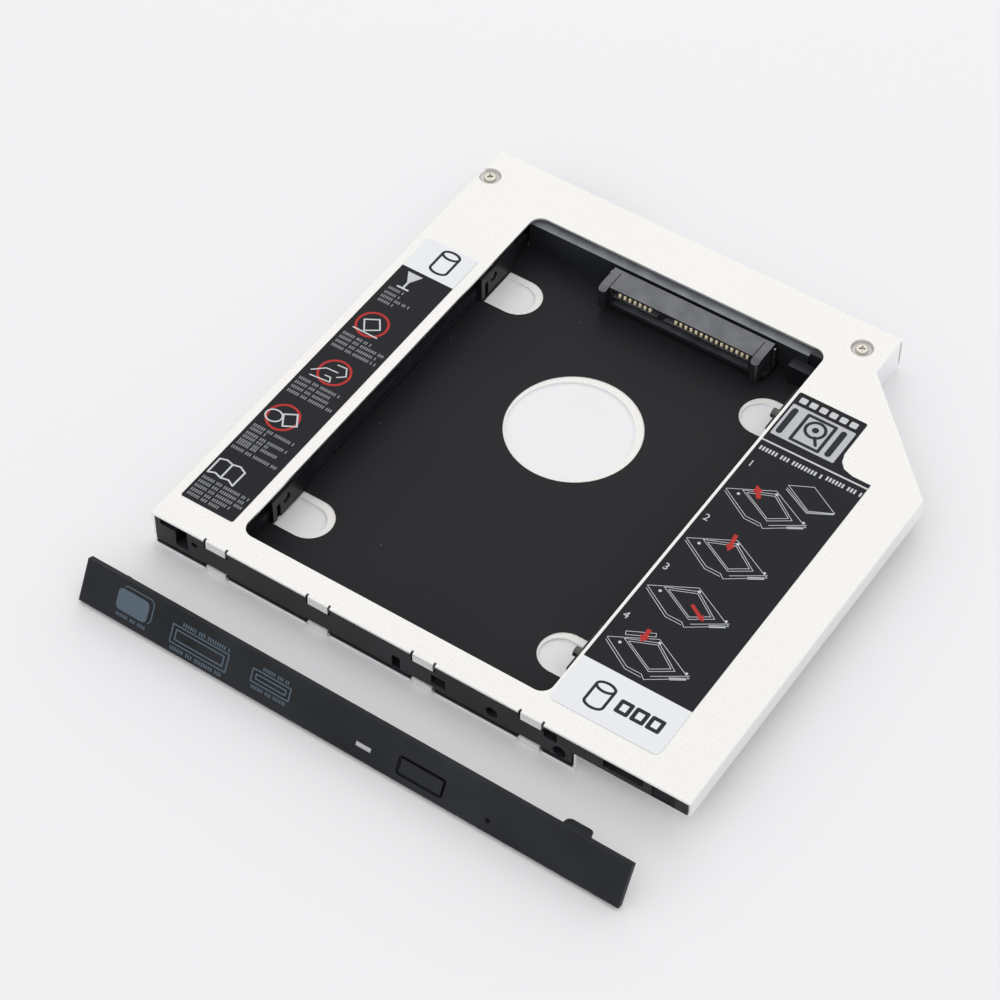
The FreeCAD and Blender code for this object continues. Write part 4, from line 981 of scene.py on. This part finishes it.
@dataclass
class RightLabel(PrintedLabel):
    """Wide label on the right: a pale field, a white rule, numbered drawings and red arrows."""

    left: float = 92.2
    right: float = 117.1
    front: float = 6.0
    field_rear: float = 18.5
    front_corner: float = 1.3
    field_corner: float = 1.2
    line: float = 0.13
    mark: float = 0.3
    panel: tuple[Point, Point] = ((92.7, 88.5), (107.7, 98.2))
    disc_centre: Point = (100.25, 94.2)
    trays: tuple[Point, ...] = ((93.0, 70.5), (93.2, 54.9), (93.2, 40.2), (93.5, 24.9))
    numbers: tuple[Point, ...] = ((93.2, 78.3), (93.2, 60.9), (93.2, 45.5), (93.2, 30.7))
    number_height: float = 1.8
    arrows: tuple[tuple[Point, Point, float], ...] = (
        ((100.0, 71.8), (97.9, 74.8), 1.7), ((101.2, 61.1), (101.9, 56.5), 1.5),
        ((103.2, 40.9), (107.3, 38.5), 1.3), ((99.6, 31.0), (99.8, 27.3), 1.6),
    )
    outer: tuple[Point, ...] = (
        (0.0, 0.0), (9.0, 5.1), (18.8, 0.1), (11.6, -5.0), (10.6, -4.1), (7.2, -4.1))
    inner: tuple[Point, ...] = ((3.1, 1.5), (9.4, 4.3), (15.6, 0.1), (11.4, -2.8))
    inner_middle: Point = (9.8, 0.7)
    lip_share: float = 0.84
    lower: tuple[Point, ...] = ((0.2, -0.7), (7.2, -4.8), (10.8, -4.8))
    side: tuple[Point, ...] = ((12.3, -3.6), (18.6, 0.7))

    def build(self) -> None:
        """Builds the film and its print."""
        LabelStock("right_label", front_corner=self.front_corner).build()
        pale = self.ground()
        pale.patch((self.left, self.front), (self.right, self.field_rear), self.field_corner,
                   rear_corners=False)
        pale.gather("right_label_pale_field", Finishes.PALE_FIELD)
        dark = self.over()
        self.draw_drive_sign(dark, (100.2, 14.2), 4.5)
        self.draw_squares(dark)
        self.draw_panel_marks(dark)
        dark.gather("right_label_dark_print", Finishes.DARK_INK)
        lines = self.ground()
        self.draw_heading(lines)
        for corner in self.trays:
            self.draw_tray(lines, corner)
        self.draw_drive(lines)
        for i, corner in enumerate(self.numbers, start=1):
            lines.number(str(i), corner, self.number_height)
        lines.gather("right_label_pale_print", Finishes.PALE_INK)
        panel = self.ground()
        panel.patch(*self.panel, self.mark)
        panel.gather("right_label_silver_panel", Finishes.SILVER_INK)
        red = self.over()
        for start, end, width in self.arrows:
            self.draw_arrow(red, start, end, width)
        red.gather("right_label_red_print", Finishes.RED_INK)

    def draw_squares(self, layer: PrintLayer) -> None:
        """Draws three hollow squares beside the drive sign."""
        for i in range(3):
            start = 104.6 + 3.55 * i
            stop = start + 2.3
            layer.path([(start, 10.7), (stop, 10.7), (stop, 13.3), (start, 13.3)], 0.85, True)

    def draw_panel_marks(self, layer: PrintLayer) -> None:
        """Draws a plain drive seen from above on the silver panel.

        Args:
            layer: The dark ink.
        """
        layer.path([(97.0, 89.4), (103.5, 89.4), (103.5, 97.2), (97.0, 97.2)], 0.75, True)
        layer.ring(self.disc_centre, (2.15, 2.15), 0.7)
        layer.disc(self.disc_centre, 0.75)
        layer.bar((102.3, 90.6), (101.1, 92.4), 0.7)
        for side in (94.0, 105.6):
            layer.bar((side, 90.0), (side, 96.6), 1.4)

    def draw_heading(self, layer: PrintLayer) -> None:
        """Draws the rule, the row of ticks below it and the squares above the silver panel.

        Args:
            layer: The pale ink.
        """
        layer.bar((self.left, 86.2), (self.right, 86.4), 0.42, rounded=False)
        layer.words(93.0, 107.8, 84.0, 1.15)
        layer.words(108.6, 116.5, 84.3, 1.15)
        for i in range(6):
            start = 93.3 + 2.4 * i
            layer.patch((start, 99.1), (start + 1.7, 100.7), self.mark)

    def draw_tray(self, layer: PrintLayer, corner: Point) -> None:
        """Draws one tray in slanted outline.

        Args:
            layer: The pale ink.
            corner: The tray's left corner.
        """
        x, y = corner
        mid_x, mid_y = self.inner_middle
        lip = [(mid_x + (a - mid_x) * self.lip_share, mid_y + (b - mid_y) * self.lip_share)
               for a, b in self.inner]
        for outline in (self.outer, self.inner, lip):
            layer.path([(x + a, y + b) for a, b in outline], self.line, True)
        for edge in (self.lower, self.side):
            layer.path([(x + a, y + b) for a, b in edge], self.line)
        layer.bar((x + 15.6, y - 2.1), (x + 18.4, y - 0.3), 0.6, rounded=False)
        for a, b, radius in ((2.9, 0.2, 0.35), (9.5, 4.3, 0.35), (17.8, 0.9, 0.3)):
            layer.disc((x + a, y + b), radius, corners=12)

    def draw_drive(self, layer: PrintLayer) -> None:
        """Draws the loose drive beside the first tray and the loose front below the last one.

        Args:
            layer: The pale ink.
        """
        left, right, front = (103.2, 78.3), (114.8, 77.0), (110.0, 74.6)
        layer.path([left, (107.9, 80.8), right, front], self.line, True)
        for drop in (0.5, 0.95):
            layer.path([(left[0] + 0.1, left[1] - 0.2 - drop), (front[0], front[1] - drop * 0.7),
                        (right[0] - 0.1, right[1] - drop * 0.4)], self.line)
        layer.path([(96.3, 27.3), (101.6, 30.1), (101.2, 30.9), (95.9, 28.1)], self.line, True)

    def draw_arrow(self, layer: PrintLayer, start: Point, end: Point, width: float) -> None:
        """Draws a short red arrow.

        Args:
            layer: The red ink.
            start: Tail of the arrow.
            end: Its tip.
            width: Width of its head.
        """
        way = Vector((end[0] - start[0], end[1] - start[1])).normalized()
        radius = width * 0.75
        neck = (end[0] - way.x * width, end[1] - way.y * width)
        layer.bar(start, neck, width * 0.6, rounded=False)
        turn = math.degrees(math.atan2(way.y, way.x)) - 90.0
        layer.disc((end[0] - way.x * radius, end[1] - way.y * radius), radius, 3, turn)


@dataclass
class BezelMarks:
    """Three plain shapes printed on the bezel's face. Places are along and up that face."""

    left: float = -2.93
    front: float = -19.49
    yaw: float = -0.57
    lean: float = -26.565
    thickness: float = 1.75
    ink: float = 0.02
    outline: float = 0.3
    inset: float = 0.9

    def build(self) -> None:
        """Builds the marks and lays them on the leaning face."""
        turn = Matrix.Rotation(math.radians(self.yaw), 4, "Z") @ Matrix.Rotation(
            math.radians(self.lean + 90.0), 4, "X")
        there = Matrix.Translation(tray(self.left, self.front, 0.0))
        back = Matrix.Translation(-TRAY_CORNER * MM)
        layer = PrintLayer(self.thickness + self.ink / 2, self.ink, sheet=there @ turn @ back)
        self.draw_disc_plate(layer)
        self.draw_block(layer, 22.7, 36.5, (1.3, 2.4, 6.5), 0.9)
        self.draw_block(layer, 42.4, 51.6, (2.8, 3.8, 6.7), 0.8)
        layer.gather("bezel_marks", Finishes.BLUE_INK, Body.BEZEL, "bezel_plastic")

    def draw_disc_plate(self, layer: PrintLayer) -> None:
        """Draws the filled plate with its second outline."""
        layer.patch((8.8, 3.0), (16.5, 7.9), 1.1)
        layer.path(
            [(17.0, 3.4), (17.5, 4.2), (17.5, 8.0), (16.8, 8.8), (10.6, 8.8), (10.2, 8.5)], 0.24)
        layer.words(9.3, 16.6, 2.0, 0.8)

    def draw_block(
        self,
        layer: PrintLayer,
        start: float,
        stop: float,
        rows: Triple,
        height: float,
    ) -> None:
        """Draws a bar in double outline between two rows of ticks.

        Args:
            layer: The ink.
            start: Left end.
            stop: Right end.
            rows: Heights of the lower row, of the bar's foot and of the bar's top.
            height: Height of the ticks.
        """
        low, foot, top = rows
        layer.words(start + 0.4, stop - 0.4, low, height)
        for side, level in ((0.0, 0.0), (1.0, self.inset)):
            layer.path([(start + side, foot + level), (stop - side, foot + level),
                        (stop - side, top - level), (start + side, top - level)],
                       self.outline, True)
        layer.words(start + 2.2, stop - 0.4, top + 0.9, height)


@dataclass
class CoverScrews:
    """The two small cross-head screws that hold the cover. Sizes are millimetres."""

    places: tuple[Point, ...] = SCREW_PLACES
    turns: tuple[float, ...] = (38.0, 24.0)
    seat: float = 8.8
    head_radius: float = 1.45
    head_height: float = 0.6
    head_round: float = 0.28
    head_corners: int = 40
    round_steps: int = 5
    crease: float = 30.0
    shank_radius: float = 0.8
    shank_length: float = 4.5
    cross_length: float = 2.0
    cross_width: float = 0.5
    cross_depth: float = 0.5
    cross_taper: Triple = (0.4, 0.7, 1.0)

    def build(self) -> None:
        """Builds one screw, places a copy of it at each dimple and joins them."""
        model = self.model_screw()
        copies = []
        for (x, y), turn in zip(self.places, self.turns):
            obj = copy_of(model)
            obj.location = tray(x, y, self.seat)
            obj.rotation_euler = (0.0, 0.0, math.radians(turn))
            settle(obj)
            copies.append(obj)
        bpy.data.objects.remove(model)
        piece = present(
            join(copies), "cover_screw_heads", Finishes.NICKEL, Body.CADDY)
        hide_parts("cover_screws")

    def model_screw(self) -> Object:
        """Models one screw with its seat at the origin.

        Returns:
            The screw.
        """
        screw = drum((0, 0, self.head_height / 2 * MM), (self.head_radius, self.head_radius),
                     self.head_height, self.head_corners)
        top = self.head_height * MM
        round_edges(screw, lambda edge: all(abs(end.co.z - top) < CLOSE for end in edge.verts),
                    self.head_round, self.round_steps)
        edit(screw, "FACE", lambda face: face.normal.z < -LEVEL)
        bpy.ops.mesh.inset(thickness=(self.head_radius - self.shank_radius) * MM)
        bpy.ops.mesh.extrude_region_move(
            TRANSFORM_OT_translate={"value": (0, 0, -self.shank_length * MM)})
        leave_edit()
        self.cut_cross(screw)
        pick(screw)
        bpy.ops.object.shade_smooth_by_angle(angle=math.radians(self.crease))
        return screw

    def cut_cross(self, screw: Object) -> None:
        """Sinks the tapered cross recess into the head.

        Args:
            screw: The screw.
        """
        size = (self.cross_length, self.cross_width, self.cross_depth * 2)
        for turn in (0.0, 90.0):
            cutter = block((0, 0, self.head_height * MM), size, math.radians(turn))
            edit(cutter, "FACE", lambda face: face.normal.z < -LEVEL)
            bpy.ops.transform.resize(value=self.cross_taper)
            leave_edit()
            modify(screw, "BOOLEAN", object=cutter, operation="DIFFERENCE", solver="EXACT")
            bpy.data.objects.remove(cutter)


@dataclass
class Studio:
    """The pale table, the soft light and the camera."""

    camera_place: Triple = (237.7913, -385.6971, 514.6034)
    camera_turn: Triple = (40.14186, -0.29818, 33.85546)
    lens: float = 117.3535
    sensor: float = 36.0
    near: float = 0.01
    table_colour: str = "#EEEEF0"
    table_roughness: float = 0.6
    table_size: float = 6.0
    world_colour: str = "#FFFFFF"
    world_strength: float = 0.99
    key_place: Triple = (-0.32, 0.6, 0.75)
    key_size: float = 0.5
    key_power: float = 0.6

    def build(self) -> None:
        """Builds the whole studio."""
        self.add_camera()
        self.add_table()
        self.add_world()
        self.add_key()
        bpy.context.scene.view_settings.view_transform = "Standard"

    def add_camera(self) -> None:
        """Adds the camera at the photograph's angle."""
        turn = tuple(math.radians(angle) for angle in self.camera_turn)
        bpy.ops.object.camera_add(location=Vector(self.camera_place) * MM, rotation=turn)
        camera = bpy.context.object
        camera.data.lens = self.lens
        camera.data.sensor_width = self.sensor
        camera.data.clip_start = self.near
        bpy.context.scene.camera = camera

    def add_table(self) -> None:
        """Adds the pale table that the caddy lies on."""
        bpy.ops.mesh.primitive_plane_add(size=self.table_size, location=(0, 0, 0))
        table = bpy.context.object
        table.name = "table"
        made = bpy.data.materials.new("pale_table")
        made.use_nodes = True
        shader = made.node_tree.nodes["Principled BSDF"]
        shader.inputs["Base Color"].default_value = linear(self.table_colour)
        shader.inputs["Roughness"].default_value = self.table_roughness
        table.data.materials.append(made)

    def add_world(self) -> None:
        """Adds the even light of the room."""
        world = bpy.data.worlds.new("studio")
        bpy.context.scene.world = world
        world.use_nodes = True
        room = world.node_tree.nodes["Background"]
        room.inputs["Color"].default_value = linear(self.world_colour)
        room.inputs["Strength"].default_value = self.world_strength

    def add_key(self) -> None:
        """Adds the softbox, behind and to the left, that faces the caddy."""
        bpy.ops.object.light_add(type="AREA", location=self.key_place)
        lamp = bpy.context.object
        lamp.name = "key_softbox"
        lamp.data.size = self.key_size
        lamp.data.energy = self.key_power
        lamp.rotation_euler = (-Vector(self.key_place)).to_track_quat("-Z", "Y").to_euler()


def main() -> None:
    """Builds the studio and every piece, in order."""
    logging.basicConfig(level=logging.INFO, format="%(name)s: %(message)s")
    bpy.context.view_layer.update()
    Studio().build()
    dress_nodes()
    LeftLabel().build()
    RightLabel().build()
    BezelMarks().build()
    CoverScrews().build()


if __name__ == "__main__":
    main()
